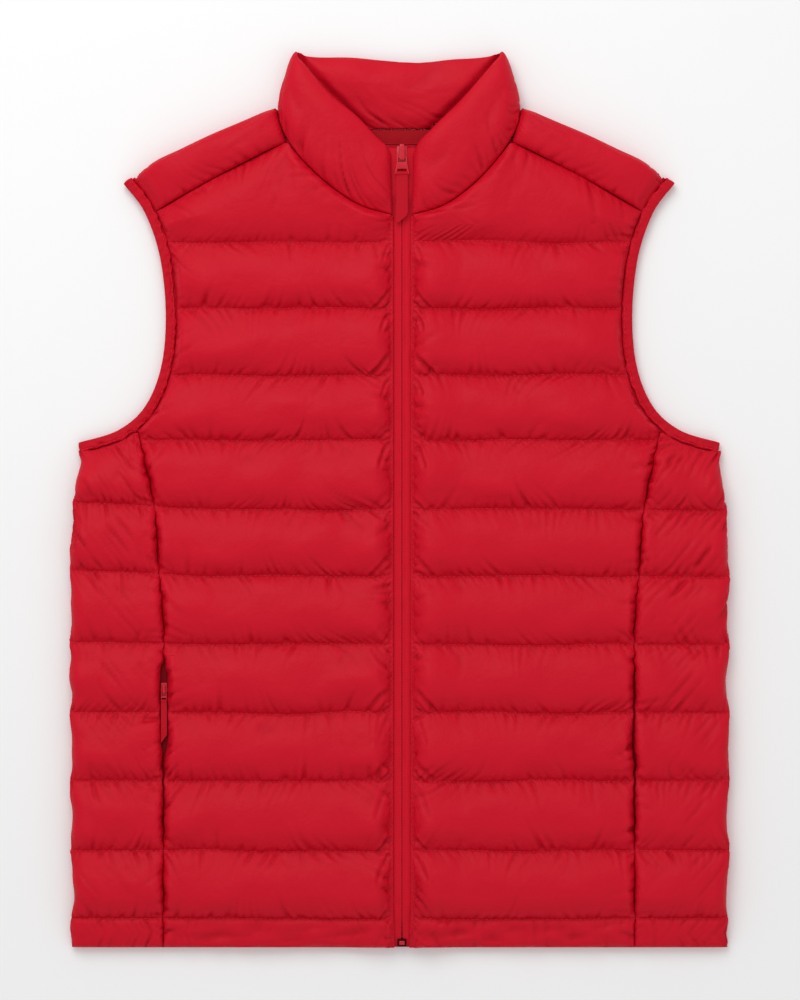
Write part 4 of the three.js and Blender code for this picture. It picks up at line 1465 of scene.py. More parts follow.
def shell(name: str, outer: Array, inner: Array, side: Side) -> Piece:
    """A closed cloth wall between two grids of the same size.

    Args:
        name: the piece's name.
        outer: the places on the outside, rows x columns x 3, on the left half.
        inner: the places on the inside.
        side: the half that the piece is for.

    Returns:
        The piece, with the cloth's lie in a UV map.
    """
    at = numbered(*outer.shape[:2])
    cells = cells_of(at)
    faces = cells.tolist() + (cells[:, ::-1] + at.size).tolist()
    sides = ((at[1:, 0], at[:-1, 0]), (at[:-1, -1], at[1:, -1]))
    ends = ((at[0, :-1], at[0, 1:]), (at[-1, 1:], at[-1, :-1]))
    for a, b in (*sides, *ends):
        faces += np.stack([b, a, a + at.size, b + at.size], axis=-1).tolist()
    points = np.vstack([outer.reshape(-1, 3), inner.reshape(-1, 3)])
    spots = np.tile(spots_of(*lie_of(outer)), (2, 1))
    return cloth_object(name, points, faces, spots, side, 50)


@dataclass(frozen=True)
class Binding:
    """A narrow strip folded over both raw edges of an armhole, from fold to fold and back behind."""

    half: float = 4.3
    thick: float = 3.2
    level: float = 5.0
    lining: float = 0.7
    crown: float = 0.35
    groove: float = 0.4
    groove_at: float = 1.7
    groove_reach: float = 0.5
    rolled: float = 0.9
    ripple: float = 0.4
    turn_share: float = 0.6
    cut_width: float = 0.0125
    stations: int = 170
    turn_steps: int = 9

    ACROSS: ClassVar = (-4.3, -4.15, -3.7, -3.0, -1.6, 0.0, 1.6, 2.2, 2.6, 3.0, 3.7, 4.15, 4.3)

    def section(self) -> Array:
        """The strip's section as places across it and up from its middle, count x 2."""
        low = self.thick / 2
        across = np.array(self.ACROSS)
        lift = low - self.rolled * np.abs(across / self.half) ** 8
        lift += self.crown * (1 - (across / self.half) ** 2) - self.crown
        lift -= self.groove * bell(across - self.half + self.groove_at, self.groove_reach)
        top = np.stack([across, lift], axis=1)
        tuck = np.array([[4.35, -low + 0.05], [6.4, -low - 0.05], [6.4, -low - 0.5], [4.0, -low - 0.5]])
        under = np.stack([across[::-1], np.full(len(across), -low + 0.1)], axis=1)[2:]
        return np.vstack([top, tuck, under])

    def path(self) -> tuple[Array, Array, Array]:
        """The strip's middle all round the armhole, with the ways across it and up from it."""
        middle = CUT.armhole_edge(self.half, self.stations)
        along, inward = ways_of(middle)
        reach = self.lining + self.thick / 2
        angle = np.linspace(0, np.pi, self.turn_steps + 2)[1:-1]
        places, across, up = [], [], []

        def add(spot: Array, inset: Array, way: Array, around: float) -> None:
            """Adds a station turned from the top of the edge, at 0, to its back, at pi."""
            out = way * np.sin(around) * self.turn_share
            rise = np.array([out[0], out[1], np.cos(around)])
            places.append(np.array([*spot, self.level]) + reach * rise)
            across.append(np.array([*inset, 0.0]))
            up.append(rise)

        for i in range(len(middle)):
            add(middle[i], inward[i], along[i], 0.0)
        for around in angle:
            add(middle[-1], inward[-1], along[-1], around)
        for i in range(len(middle) - 1, -1, -1):
            add(middle[i], inward[i], along[i], np.pi)
        for around in angle[::-1]:
            add(middle[0], inward[0], -along[0], around)
        return np.array(places), np.array(across), np.array(up)

    def build(self, side: Side) -> Piece:
        """The binding of one armhole."""
        places, across, up = self.path()
        section = self.section()
        far = np.linalg.norm(np.diff(places, axis=0, append=places[:1]), axis=1)
        along = running(far)[:-1, None]
        x = section[:, 0][None, :]
        pulled = self.ripple * Unevenness(Seed.BINDING_RIPPLE + side.value, 6, 9).at(along, x * 1.2)
        waved = 0.5 * Unevenness(Seed.BINDING_EDGE + side.value, 11, 30).at(along, 0 * x) * (x > 0)
        lift = section[:, 1][None, :] + pulled * (section[:, 1] > 0)[None, :]
        outer = places[:, None, :] + (x + waved)[..., None] * across[:, None, :]
        outer = outer + lift[..., None] * up[:, None, :]
        obj = self.tube(f"armhole_binding_{side.word}_cloth", outer, along.ravel(), side)
        "front_" + side.word
        return obj

    def sew(self, seams: "Stitching", side: Side) -> None:
        """Adds the row of stitches along the binding's inner edge."""
        places, across, up = self.path()
        line = places + (self.half - self.groove_at) * across + (self.thick / 2 - 0.3) * up
        seams.run(line, up, side, -0.1)

    def tube(self, name: str, outer: Array, along: Array, side: Side) -> Piece:
        """A closed ring of closed sections.

        Args:
            name: the piece's name.
            outer: the places, stations x points x 3.
            along: each station's distance along the strip.
            side: the half that the piece is for.

        Returns:
            The piece, with the cloth's lie in a UV map.
        """
        at = numbered(*outer.shape[:2])
        ahead, beside = np.roll(at, -1, axis=0), np.roll(at, -1, axis=1)
        faces = np.stack([at, beside, np.roll(ahead, -1, axis=1), ahead], axis=-1).reshape(-1, 4)
        closed = np.concatenate([outer, outer[:, :1]], axis=1)
        spots = spots_of(lie_of(closed)[0][:-1], along * MM)
        return cloth_object(name, outer.reshape(-1, 3), faces.tolist(), spots, side, 60)


@dataclass(frozen=True)
class FrontZip:
    """The front zip's tapes and coil: they lie with the body and rise behind the collar."""

    bottom: float = -379.0
    top: float = 299.0
    width: float = 14.0
    thick: float = 0.7
    slit: float = 0.3
    parted_from: float = 284.0
    parted_slope: float = 0.13
    foot_gap: float = 0.55
    collar_level: float = 17.4
    rise: tuple[float, float] = (247.0, 262.0)
    cell: float = 2.0
    ridge: float = 0.35
    bend: float = 0.22
    coil_half: float = 2.4
    coil_thick: float = 1.5
    coil_pitch: float = 1.45
    coil_ends: tuple[float, float] = (-373.0, 283.0)

    SHARES: ClassVar = (
        0, 0.03, 0.08, 0.14, 0.18, 0.21, 0.25, 0.29, 0.33,
        0.36, 0.39, 0.43, 0.47, 0.52, 0.58, 0.7, 0.85, 1.0,
    )

    def level(self, y: Array) -> Array:
        """The top of the tapes at y."""
        body = CUT.meeting(np.full_like(y, CUT.zip_x), y) + CUT.lift + CUT.apart - CUT.seam_gap
        start, end = self.rise
        return mix(body, self.collar_level, ease((y - start) / (end - start)))

    def tape(self, side: Side) -> Piece:
        """One tape: a ridge over the coil, then flat under the edge of the front."""
        y = np.linspace(self.bottom, self.top, round((self.top - self.bottom) / self.cell))[:, None]
        start = self.slit + self.parted_slope * np.maximum(0, y - self.parted_from)
        start = start + self.foot_gap * ease((self.bottom + 26 - y) / 22)
        out = start + (self.width - start) * np.array(self.SHARES)
        shape = self.ridge * (1 - ease((out - 1.4) / 1.5)) - 0.14 * bell(out - 3.1, 0.4)
        shape += 0.22 * bell(out - 4.7, 0.5)
        shape += 0.1 * Unevenness(Seed.ZIP_TAPE + side.value, 9, 26).at(out, y)
        shape *= 1 - ease((out - 5.7) / 1.2)
        flat = self.level(y) - self.bend * ease((out - 6.4) / 0.9)
        x = side.value * CUT.zip_x + out
        outer, inner = grid_of(x, y, flat + shape), grid_of(x, y, flat - self.thick)
        obj = shell(f"zip_tape_{side.word}_cloth", outer, inner, side)
        return obj

    def coil(self) -> Piece:
        """The coil: one flattened loop of filament after another, under the tapes."""
        loop = Bench("zip_coil_loops").ball((1.0, 0.62, 1.0), 8, 6)
        loop.stretch(self.coil_half, 1.0, self.coil_thick / 2)
        y = np.arange(*self.coil_ends, self.coil_pitch)
        z = self.level(y) - self.thick - 0.25 - self.coil_thick / 2
        places = np.stack([np.full_like(y, CUT.zip_x), y, z], axis=1)
        return loop.repeated(places, np.tile([1.0, 0.0, 0.0], (len(y), 1)), upwards(len(y)))


@dataclass(frozen=True)
class PocketTape:
    """The tapes of a pocket's zip, closed, in the slit of a side seam."""

    half: float = 5.5
    thick: float = 0.7
    tucked: float = 4.0
    ridge: float = 0.35
    rows: int = 76

    ACROSS: ClassVar = (
        -5.5, -4.4, -3.2, -2.4, -2.0, -1.2, -0.5, -0.2, 0.2, 0.5, 1.2, 2.0, 2.4, 3.2, 4.4, 5.5,
    )

    def build(self, side: Side) -> Piece:
        """The tapes of one pocket."""
        low, high = CUT.pocket_bottom + self.tucked, CUT.pocket_top - self.tucked
        y = np.linspace(low, high, self.rows)[:, None]
        off = np.array(self.ACROSS)
        seam = read(CUT.SIDE_SEAM, y)
        x = seam + off
        level = CUT.meeting(seam, y) + 0 * x
        ridge = self.ridge * np.exp(-((off / 1.6) ** 4)) - self.ridge * bell(off, 0.3)
        outer = grid_of(x, y, level + self.thick / 2 + np.minimum(ridge, 0.28))
        inner = grid_of(x, y, level - self.thick / 2)
        obj = shell(f"pocket_zip_{side.word}_cloth", outer, inner, side)
        return obj


@dataclass(frozen=True)
class NeckTape:
    """The strip over the back neck seam, inside."""

    half: float = 62.0
    low: float = 302.7
    high: float = 314.7
    top: float = 12.6
    thick: float = 1.0

    def build(self) -> Piece:
        """The tape."""
        x = np.linspace(-self.half, self.half, 90)[None, :]
        y = np.linspace(self.low, self.high, 13)[:, None]
        shape = 0.14 * Unevenness(Seed.NECK_TAPE, 14, 20).at(x, y) - 0.2 * bell(y - self.low - 1.6, 0.5)
        outer, inner = grid_of(x, y, self.top - 0.15 + shape), grid_of(x, y, self.top - self.thick)
        obj = shell("neck_tape_cloth", outer, inner, Side.LEFT)
        cut = (2 * self.half * MM, (self.high - self.low) * MM)
        return obj


# ---- hardware ----


class Bench:
    """One small part, shaped in edit mode, with its sizes in millimetres."""

    def __init__(self, name: str) -> None:
        """Starts a part of the given name."""
        self.name = name
        self.obj: Piece | None = None

    def _adopt(self, low: Size, high: Size) -> "Bench":
        """Fits the new primitive between two corners, where a flat one keeps its level."""
        self.obj = bpy.context.object
        self.obj.name = self.name
        bpy.ops.transform.resize(value=[(b - a) * MM or 1.0 for a, b in zip(low, high)])
        bpy.ops.transform.translate(value=[(a + b) / 2 * MM for a, b in zip(low, high)])
        bpy.ops.object.transform_apply(location=True, rotation=True, scale=True)
        return self

    def block(self, low: Size, high: Size) -> "Bench":
        """Starts from a block between two corners."""
        deselect()
        bpy.ops.mesh.primitive_cube_add(size=1)
        return self._adopt(low, high)

    def sheet(self, low: Size, high: Size) -> "Bench":
        """Starts from a flat sheet between two corners at one level."""
        deselect()
        bpy.ops.mesh.primitive_plane_add(size=1)
        return self._adopt(low, high)

    def rod(self, low: Size, high: Size) -> "Bench":
        """Starts from a round rod along X between two corners."""
        deselect()
        bpy.ops.mesh.primitive_cylinder_add(vertices=16, radius=0.5, depth=1, rotation=(0, math.pi / 2, 0))
        bpy.ops.object.transform_apply(location=True, rotation=True, scale=True)
        return self._adopt(low, high)

    def ball(self, radii: Size, segments: int, rings: int) -> "Bench":
        """Starts from a round of few faces about the origin, with its poles along X."""
        deselect()
        bpy.ops.mesh.primitive_uv_sphere_add(segments=segments, ring_count=rings, radius=0.5)
        bpy.ops.transform.rotate(value=math.pi / 2, orient_axis="Y", center_override=(0, 0, 0))
        return self._adopt([-radius for radius in radii], radii)

    def copied(self, node: str) -> "Bench":
        """Starts from a copy of a node's mesh, with its doubles merged and its flats dissolved."""
        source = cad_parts[node]
        self.obj = bpy.data.objects.new(self.name, source.data.copy())
        self.obj.matrix_world = source.matrix_world.copy()
        bpy.context.scene.collection.objects.link(self.obj)
        take(self.obj)
        bpy.ops.object.transform_apply(location=True, rotation=True, scale=True)
        self.obj.data.materials.clear()
        with self._editing():
            bpy.ops.mesh.remove_doubles(threshold=0.00001)
            bpy.ops.mesh.dissolve_limited(angle_limit=math.radians(2))
        return self

    @contextmanager
    def _editing(self, kind: str = "VERT", chosen: list[bool] | None = None) -> Iterator[None]:
        """Edit mode for a while, with the chosen points or faces selected, or all of the part.

        Args:
            kind: VERT for points or FACE for faces.
            chosen: whether each of them is selected.
        """
        take(self.obj)
        bpy.ops.object.mode_set(mode="EDIT")
        bpy.ops.mesh.select_mode(type=kind)
        bpy.ops.mesh.select_all(action="SELECT" if chosen is None else "DESELECT")
        if chosen is not None:
            bpy.ops.object.mode_set(mode="OBJECT")
            data = self.obj.data.vertices if kind == "VERT" else self.obj.data.polygons
            data.foreach_set("select", chosen)
            bpy.ops.object.mode_set(mode="EDIT")
        yield
        bpy.ops.object.mode_set(mode="OBJECT")

    def _within(self, low: Size, high: Size) -> list[bool]:
        """Whether each face has its middle between two corners."""
        faces = self.obj.data.polygons
        return [all(a <= c / MM <= b for a, c, b in zip(low, face.center, high)) for face in faces]

    def _applied(self, kind: str, **settings: object) -> None:
        """Finishes the part with a modifier that has the given settings."""
        modifier = self.obj.modifiers.new(kind.title(), kind)
        set_all(modifier, **settings)
        take(self.obj)
        bpy.ops.object.modifier_apply(modifier=modifier.name)

    def cut(self, axis: int, *places: float) -> "Bench":
        """Cuts the whole part at one or more places along an axis."""
        way = [float(k == axis) for k in range(3)]
        for at in places:
            with self._editing():
                bpy.ops.mesh.bisect(plane_co=[at * MM * part for part in way], plane_no=way)
        return self

    def widen(self, y: float, factor: float, middle: float) -> "Bench":
        """Scales the points at y along X, about the part's middle."""
        with self._editing("VERT", [abs(v.co.y / MM - y) < 0.01 for v in self.obj.data.vertices]):
            bpy.ops.transform.resize(value=(factor, 1, 1), center_override=(middle * MM, y * MM, 0))
        return self

    def opened(self, low: Size, high: Size) -> "Bench":
        """Takes out the faces whose middles lie between two corners."""
        with self._editing("FACE", self._within(low, high)):
            bpy.ops.mesh.delete(type="FACE")
        return self

    def lowered(self, low: Size, high: Size, by: float) -> "Bench":
        """Extrudes the faces between two corners that look down."""
        down = [face.normal.z < -0.9 for face in self.obj.data.polygons]
        chosen = [a and b for a, b in zip(down, self._within(low, high))]
        with self._editing("FACE", chosen):
            bpy.ops.mesh.extrude_region_move(TRANSFORM_OT_translate={"value": (0, 0, -by * MM)})
        return self

    def stretch(self, x: float, y: float, z: float) -> "Bench":
        """Scales the whole part about its origin."""
        take(self.obj)
        bpy.ops.transform.resize(value=(x, y, z), center_override=(0, 0, 0))
        bpy.ops.object.transform_apply(location=True, rotation=True, scale=True)
        return self

    def thickened(self, thick: float) -> "Bench":
        """Gives a flat sheet its thickness, half to each side."""
        self._applied("SOLIDIFY", thickness=thick * MM, offset=0)
        return self

    def rounded(self, radius: float, steps: int = 3) -> "Bench":
        """Rounds every sharp edge."""
        sharp = math.radians(35)
        self._applied("BEVEL", width=radius * MM, segments=steps, limit_method="ANGLE", angle_limit=sharp)
        bpy.ops.object.shade_smooth_by_angle(angle=math.radians(40))
        return self

    def joined(self, *others: "Bench") -> "Bench":
        """Joins other parts to this one."""
        take(self.obj)
        for other in others:
            other.obj.select_set(True)
        bpy.ops.object.join()
        self.obj.name = self.name
        return self

    def repeated(self, places: Array, ways: Array, ups: Array) -> Piece:
        """One mesh with a copy of the part at each place.

        Args:
            places: where the copies go, count x 3, in millimetres.
            ways: the way that each copy's X points.
            ups: the way that its Z points, about.

        Returns:
            The joined copies.
        """
        points = places_of(self.obj)
        faces = [list(face.vertices) for face in self.obj.data.polygons]
        bpy.data.objects.remove(self.obj)
        sides = unit(np.cross(ups, ways))
        tops = np.cross(ways, sides)
        turned = points[:, 0][None, :, None] * ways[:, None, :]
        turned = turned + points[:, 1][None, :, None] * sides[:, None, :]
        turned = turned + points[:, 2][None, :, None] * tops[:, None, :] + places[:, None, :]
        count = len(points)
        every = [[i + count * k for i in face] for k in range(len(places)) for face in faces]
        obj = mesh_object(self.name, turned.reshape(-1, 3), every)
        take(obj)
        bpy.ops.object.shade_smooth()
        return obj


@dataclass(frozen=True)
class Puller:
    """A zip's slider, its metal tab and the strip sewn through the tab.

    Attributes:
        name: the start of the pieces' names.
        x: the middle of the zip.
        hinge_y: where the tab's bar is.
        deck: the top of the slider's upper plate.
        body: the slider's half width, and how far it goes below and above the bar.
        plate: the thickness of the slider's plates.
        crown: the crown's half width, and how far it goes below and above the bar.
        crown_height: from the deck to the crown's top.
        tab: the tab's half width at its foot and at its neck.
        length: from the bar to the tab's foot.
        thick: the tab's thickness.
        rows: from the tab's foot, where its slot starts and ends and its window starts.
        strip: the strip's half width, its shorter and its longer side.
        strip_thick: the thickness of the strip's two layers together.
        bar_radius: the half thickness of the bar that the tab turns on.
        slanted: whether the strip's end is cut at a slant with rounded corners.
        lower: the level of the lower plate's top, or None where there is no lower plate.
    """

    name: str
    x: float
    hinge_y: float
    deck: float
    body: tuple[float, float, float]
    plate: float
    crown: tuple[float, float, float]
    crown_height: float
    tab: tuple[float, float]
    length: float
    thick: float
    rows: tuple[float, float, float]
    strip: tuple[float, float, float]
    strip_thick: float
    bar_radius: float
    slanted: bool
    lower: float | None = None

    ABOVE: ClassVar[float] = 1.35
    PLATE_ENDS: ClassVar = (0.76, 0.86)
    POST: ClassVar = (1.1, 4.0, 0.6)
    SUNK: ClassVar[float] = 0.3
    ARCH_THICK: ClassVar[float] = 1.15
    ARCH_FEET: ClassVar = (0.95, 2.2)
    ARCH_ENDS: ClassVar[float] = 0.72
    OPENING: ClassVar[float] = 0.7
    BEND_ROOM: ClassVar[float] = 2.6

    @property
    def hinge_z(self) -> float:
        """The level of the tab's bar."""
        return self.deck + self.ABOVE

    @property
    def bar_y(self) -> float:
        """The middle of the bar at the tab's foot, that the strip goes round."""
        return self.hinge_y - self.length + self.rows[0] / 2

    def box(self, half: float, y: tuple[float, float], z: tuple[float, float]) -> tuple[Size, Size]:
        """The corners of a box with the zip's middle in its own."""
        return (self.x - half, y[0], z[0]), (self.x + half, y[1], z[1])

    def slider(self) -> Piece:
        """The slider: plates, a post between them and a crown that the tab turns in."""
        half, below, above = self.body
        low, high = self.hinge_y - below, self.hinge_y + above
        parts = []
        for top in [self.deck] if self.lower is None else [self.deck, self.lower]:
            plate = Bench("plate").block(*self.box(half, (low, high), (top - self.plate, top)))
            plate.cut(1, low + 0.5 * (high - low))
            plate.widen(low, self.PLATE_ENDS[0], self.x).widen(high, self.PLATE_ENDS[1], self.x)
            parts.append(plate.rounded(0.35))
        if self.lower is not None:
            post, back, front = self.POST
            levels = (self.lower - self.SUNK, self.deck - self.SUNK)
            box = self.box(post, (high - back, high - front), levels)
            parts.append(Bench("post").block(*box).rounded(0.3))
        wide, back, front = self.crown
        top = self.deck + self.crown_height
        first, last = self.hinge_y - back, self.hinge_y + front
        ends = ((first, first + back - self.ARCH_FEET[0]), (last - self.ARCH_FEET[1], last))
        box = self.box(wide, (first, last), (top - self.ARCH_THICK, top))
        arch = Bench(self.name + "_slider_metal").block(*box).cut(1, ends[0][1], ends[1][0])
        drop = self.crown_height - self.ARCH_THICK + self.SUNK
        for end in ends:
            arch.lowered(*self.box(wide, end, (top - 2, top)), drop)
        arch.cut(1, first + 0.5 * (last - first))
        arch.widen(first, self.ARCH_ENDS, self.x).widen(last, self.ARCH_ENDS, self.x).rounded(0.5, 4)
        return arch.joined(*parts).obj

    def pull_tab(self) -> Piece:
        """The tab: a flat frame with a window round the crown and a slot for the strip."""
        wide, neck = self.tab
        foot = self.hinge_y - self.length
        slot_low, slot_high, window = (foot + row for row in self.rows)
        end = self.hinge_y + 0.55
        level = (self.hinge_z, self.hinge_z)
        plate = Bench(self.name + "_tab_metal").sheet(*self.box(1, (foot, end), level))
        plate.cut(0, self.x - self.OPENING, self.x + self.OPENING).cut(1, slot_low, slot_high, window)
        around = (self.hinge_z - 1, self.hinge_z + 1)
        for opening in ((slot_low, slot_high), (window, end)):
            plate.opened(*self.box(0.6, opening, around))
        widths = (wide * 0.97, wide, mix(wide, neck, 0.42), neck * 1.03, neck)
        for y, width in zip((foot, slot_low, slot_high, window, end), widths):
            plate.widen(y, width, self.x)
        plate.thickened(self.thick).rounded(0.32)
        y, z, radius = self.hinge_y, self.hinge_z, self.bar_radius
        bar = Bench("bar").rod(*self.box(neck * 0.9, (y - radius, y + radius), (z - radius, z + radius)))
        return plate.joined(bar.rounded(0.15, 2)).obj

    def pull_strip(self) -> Piece:
        """The strip: folded round the bar at the tab's foot, sewn, with its end cut off."""
        half, short, long = self.strip
        layer = self.strip_thick / 2 - 0.05
        x = half * np.sin(np.linspace(-np.pi / 2, np.pi / 2, 17))
        slant = mix(long, short, (x + half) / (2 * half))
        if self.slanted:
            corners = [long, long - 0.4, long - 0.68 * (long - short), short]
            slant = np.interp(x, [-half, -0.5 * half, 0.8 * half, half], corners)
        share = np.linspace(0, 1, 24)[:, None]
        flat_y = mix(self.bar_y - self.BEND_ROOM, (self.bar_y - slant)[None, :], share)
        loop = np.radians(np.linspace(-152, 152, 19))[:, None]
        reach = self.rows[0] / 2 + layer / 2 + 0.2
        press = layer / 2 + 0.03
        dimple = 0.16 * bell(flat_y - (self.bar_y - 0.17 * long), 0.9)
        seam = 0.10 * bell(np.abs(x) - half + 1.1, 0.45)
        soft = 0.12 * Unevenness(Seed.PULL_STRIP, 7, 22).at(x[None, :], flat_y) * bell(x, half)
        over = press + soft - dimple - seam
        y = np.concatenate([flat_y[::-1], self.bar_y + reach * np.cos(loop) + 0 * x, flat_y])
        z = np.concatenate([-(press + 0 * flat_y), reach * np.sin(loop) + 0 * x, over])
        middle = grid_of(self.x + x, y, self.hinge_z + z)
        edge = np.sqrt(clamp((half - np.abs(x)) / 0.5)) * 0.35 + 0.65
        wall = -grid_normals(middle) * ((layer / 2) * edge[None, :, None])
        obj = shell(self.name + "_strip_cloth", middle + wall, middle - wall, Side.LEFT)
        return obj


FRONT_PULLER = Puller(
    name="zip", x=CUT.zip_x, hinge_y=291.0, deck=19.0, lower=14.4, body=(4.9, 8.0, 9.5), plate=1.3,
    crown=(2.5, 2.4, 11.0), crown_height=3.5, tab=(6.2, 4.4), length=14.5, thick=1.4,
    rows=(1.7, 4.6, 10.2), strip=(5.0, 33.0, 42.0), strip_thick=1.6, bar_radius=0.7, slanted=True,
)
POCKET_PULLER = Puller(
    name="pocket", x=-200.138, hinge_y=-163.0, deck=13.95, body=(2.9, 6.0, 7.0), plate=1.3,
    crown=(1.2, 1.9, 5.5), crown_height=3.3, tab=(2.6, 2.5), length=9.0, thick=1.2,
    rows=(1.1, 3.1, 4.7), strip=(2.55, 29.0, 36.0), strip_thick=1.2, bar_radius=0.6, slanted=False,
)


# ---- stitching ----


class Stitching:
    """Rows of sewing thread, gathered line by line and then made as a few joined meshes."""

    def __init__(self, name: str, length: float = 3.8, gap: float = 0.2, thick: float = 0.3) -> None:
        """Starts with no stitches.

        Args:
            name: the name of the joined stitches.
            length: the length of a stitch.
            gap: the space between two stitches.
            thick: the thread's half thickness.
        """
        self.name = name
        self.length = length
        self.gap = gap
        self.thick = thick
        self.places: list[Array] = []
        self.ways: list[Array] = []
        self.ups: list[Array] = []

    def run(self, line: Array, up: Array, side: Side, sink: float = 0.0) -> None:
        """Sews along a line.

        Args:
            line: the line's points, count x 3, on the left half.
            up: the way out of the cloth at each point.
            side: the half that the line is for.
            sink: how deep the stitches lie.
        """
        far = running(lengths(line))
        starts = np.arange(self.gap, far[-1] - self.length, self.length + self.gap)
        if not len(starts):
            return

        def at(places: Array, values: Array) -> Array:
            """The values at distances along the line."""
            return np.stack([np.interp(places, far, values[:, k]) for k in range(3)], axis=1)

        head, tail = at(starts, line), at(starts + self.length, line)
        out = unit(at(starts + self.length / 2, up))
        mirror = np.array([side.value, 1, 1])
        self.places.append(((head + tail) / 2 - sink * out) * mirror)
        self.ways.append(unit(tail - head) * mirror)
        self.ups.append(out * mirror)

    def rows_of(self, skin: Skin, side: Side, first: int = 0) -> None:
        """Sews along every stitched row of a panel, between its held pairs of rows."""
        whole = skin.held.mean(axis=1) > 0.95
        normal = skin.turn * grid_normals(skin.outer)
        for i in range(1, len(whole) - 2):
            if whole[i] and whole[i + 1]:
                line = (skin.outer[i] + skin.outer[i + 1]) / 2
                up = np.cross(np.gradient(line, axis=0), np.array([0.0, 1.0, 0.0]))
                up *= np.sign((up * (normal[i - 1] + normal[i + 2])).sum(axis=1))[:, None]
                self.run(line[first:], up[first:], side, -0.22)

    def built(self) -> Piece:
        """The stitches as one piece."""
        one = Bench(self.name).ball((self.length / 2, self.thick, self.thick), 6, 4)
        return one.repeated(np.vstack(self.places), np.vstack(self.ways), np.vstack(self.ups))


# ---- finishes ----


class Term:
    """A shader socket that takes part in sums, each of which adds its Math node."""

    def __init__(self, graph: "Graph", socket: bpy.types.NodeSocket) -> None:
        """Wraps a socket of a graph."""
        self.graph = graph
        self.socket = socket

    def _sum(self, operation: str, first: "Term | float", second: "Term | float") -> "Term":
        """The result of a Math node on two values."""
        made = self.graph.node("ShaderNodeMath", {"operation": operation}, {0: first, 1: second})
        return Term(self.graph, made.outputs[0])

    def __add__(self, other: "Term | float") -> "Term":
        """self + other."""
        return self._sum("ADD", self, other)

    def __radd__(self, other: float) -> "Term":
        """other + self."""
        return self._sum("ADD", other, self)

    def __sub__(self, other: "Term | float") -> "Term":
        """self - other."""
        return self._sum("SUBTRACT", self, other)

    def __rsub__(self, other: float) -> "Term":
        """other - self."""
        return self._sum("SUBTRACT", other, self)

    def __mul__(self, other: "Term | float") -> "Term":
        """self * other."""
        return self._sum("MULTIPLY", self, other)

    def __rmul__(self, other: float) -> "Term":
        """other * self."""
        return self._sum("MULTIPLY", other, self)

    def clamped(self) -> "Term":
        """The value kept from 0 to 1."""
        made = self.graph.node("ShaderNodeClamp", {}, {"Value": self})
        return Term(self.graph, made.outputs[0])

    def sine(self) -> "Term":
        """The sine of the value."""
        return self._sum("SINE", self, 0.0)


class Graph:
    """The node graph of one material."""

    def __init__(self, name: str) -> None:
        """Makes the material with an empty graph."""
        self.material = bpy.data.materials.new(name)
        self.material.use_nodes = True
        self.tree = self.material.node_tree
        self.tree.nodes.clear()

    def node(self, kind: str, settings: dict, values: dict) -> bpy.types.Node:
        """Adds a node.

        Args:
            kind: the node's type.
            settings: its settings, which are set first.
            values: the values of its sockets, or the terms that they are linked to.

        Returns:
            The new node.
        """
        made = self.tree.nodes.new(kind)
        set_all(made, **settings)
        for key, value in values.items():
            if isinstance(value, Term):
                self.tree.links.new(value.socket, made.inputs[key])
            else:
                made.inputs[key].default_value = value
        return made

    def term(self, kind: str, settings: dict, values: dict, output: str | int = 0) -> Term:
        """Adds a node and gives one of its outputs."""
        return Term(self, self.node(kind, settings, values).outputs[output])

    def place(self) -> Term:
        """The place on the object, in metres."""
        return self.term("ShaderNodeTexCoord", {}, {}, "Object")

    def lie(self) -> Term:
        """The place along the cloth, in metres, from its UV map."""
        return self.term("ShaderNodeUVMap", {"uv_map": "cloth"}, {})

    def apart(self, vector: Term) -> tuple[Term, Term, Term]:
        """The three parts of a vector."""
        split = self.node("ShaderNodeSeparateXYZ", {}, {"Vector": vector})
        return tuple(Term(self, output) for output in split.outputs)

    def noise(self, vector: Term, scale: float, detail: float = 2.0, rough: float = 0.5) -> Term:
        """Smooth noise, about 0.5 on average."""
        values = {"Vector": vector, "Scale": scale, "Detail": detail, "Roughness": rough}
        return self.term("ShaderNodeTexNoise", {}, values)

    def blend(self, share: Term, first: "Term | tuple", second: "Term | tuple") -> Term:
        """One colour turning into another as a share rises from 0 to 1."""
        settings = {"data_type": "RGBA", "clamp_factor": True}
        return self.term("ShaderNodeMix", settings, {0: share, 6: first, 7: second}, 2)

    def bump(self, height: Term, depth: float, distance: float, under: Term | None = None) -> Term:
        """A normal from a height, laid over another one where given."""
        values = {"Height": height, "Strength": depth, "Distance": distance}
        if under is not None:
            values["Normal"] = under
        return self.term("ShaderNodeBump", {}, values)

    def finish(self, values: dict) -> bpy.types.Material:
        """Ends the graph in a Principled shader with the given sockets."""
        shader = self.term("ShaderNodeBsdfPrincipled", {}, values)
        self.node("ShaderNodeOutputMaterial", {}, {"Surface": shader})
        return self.material


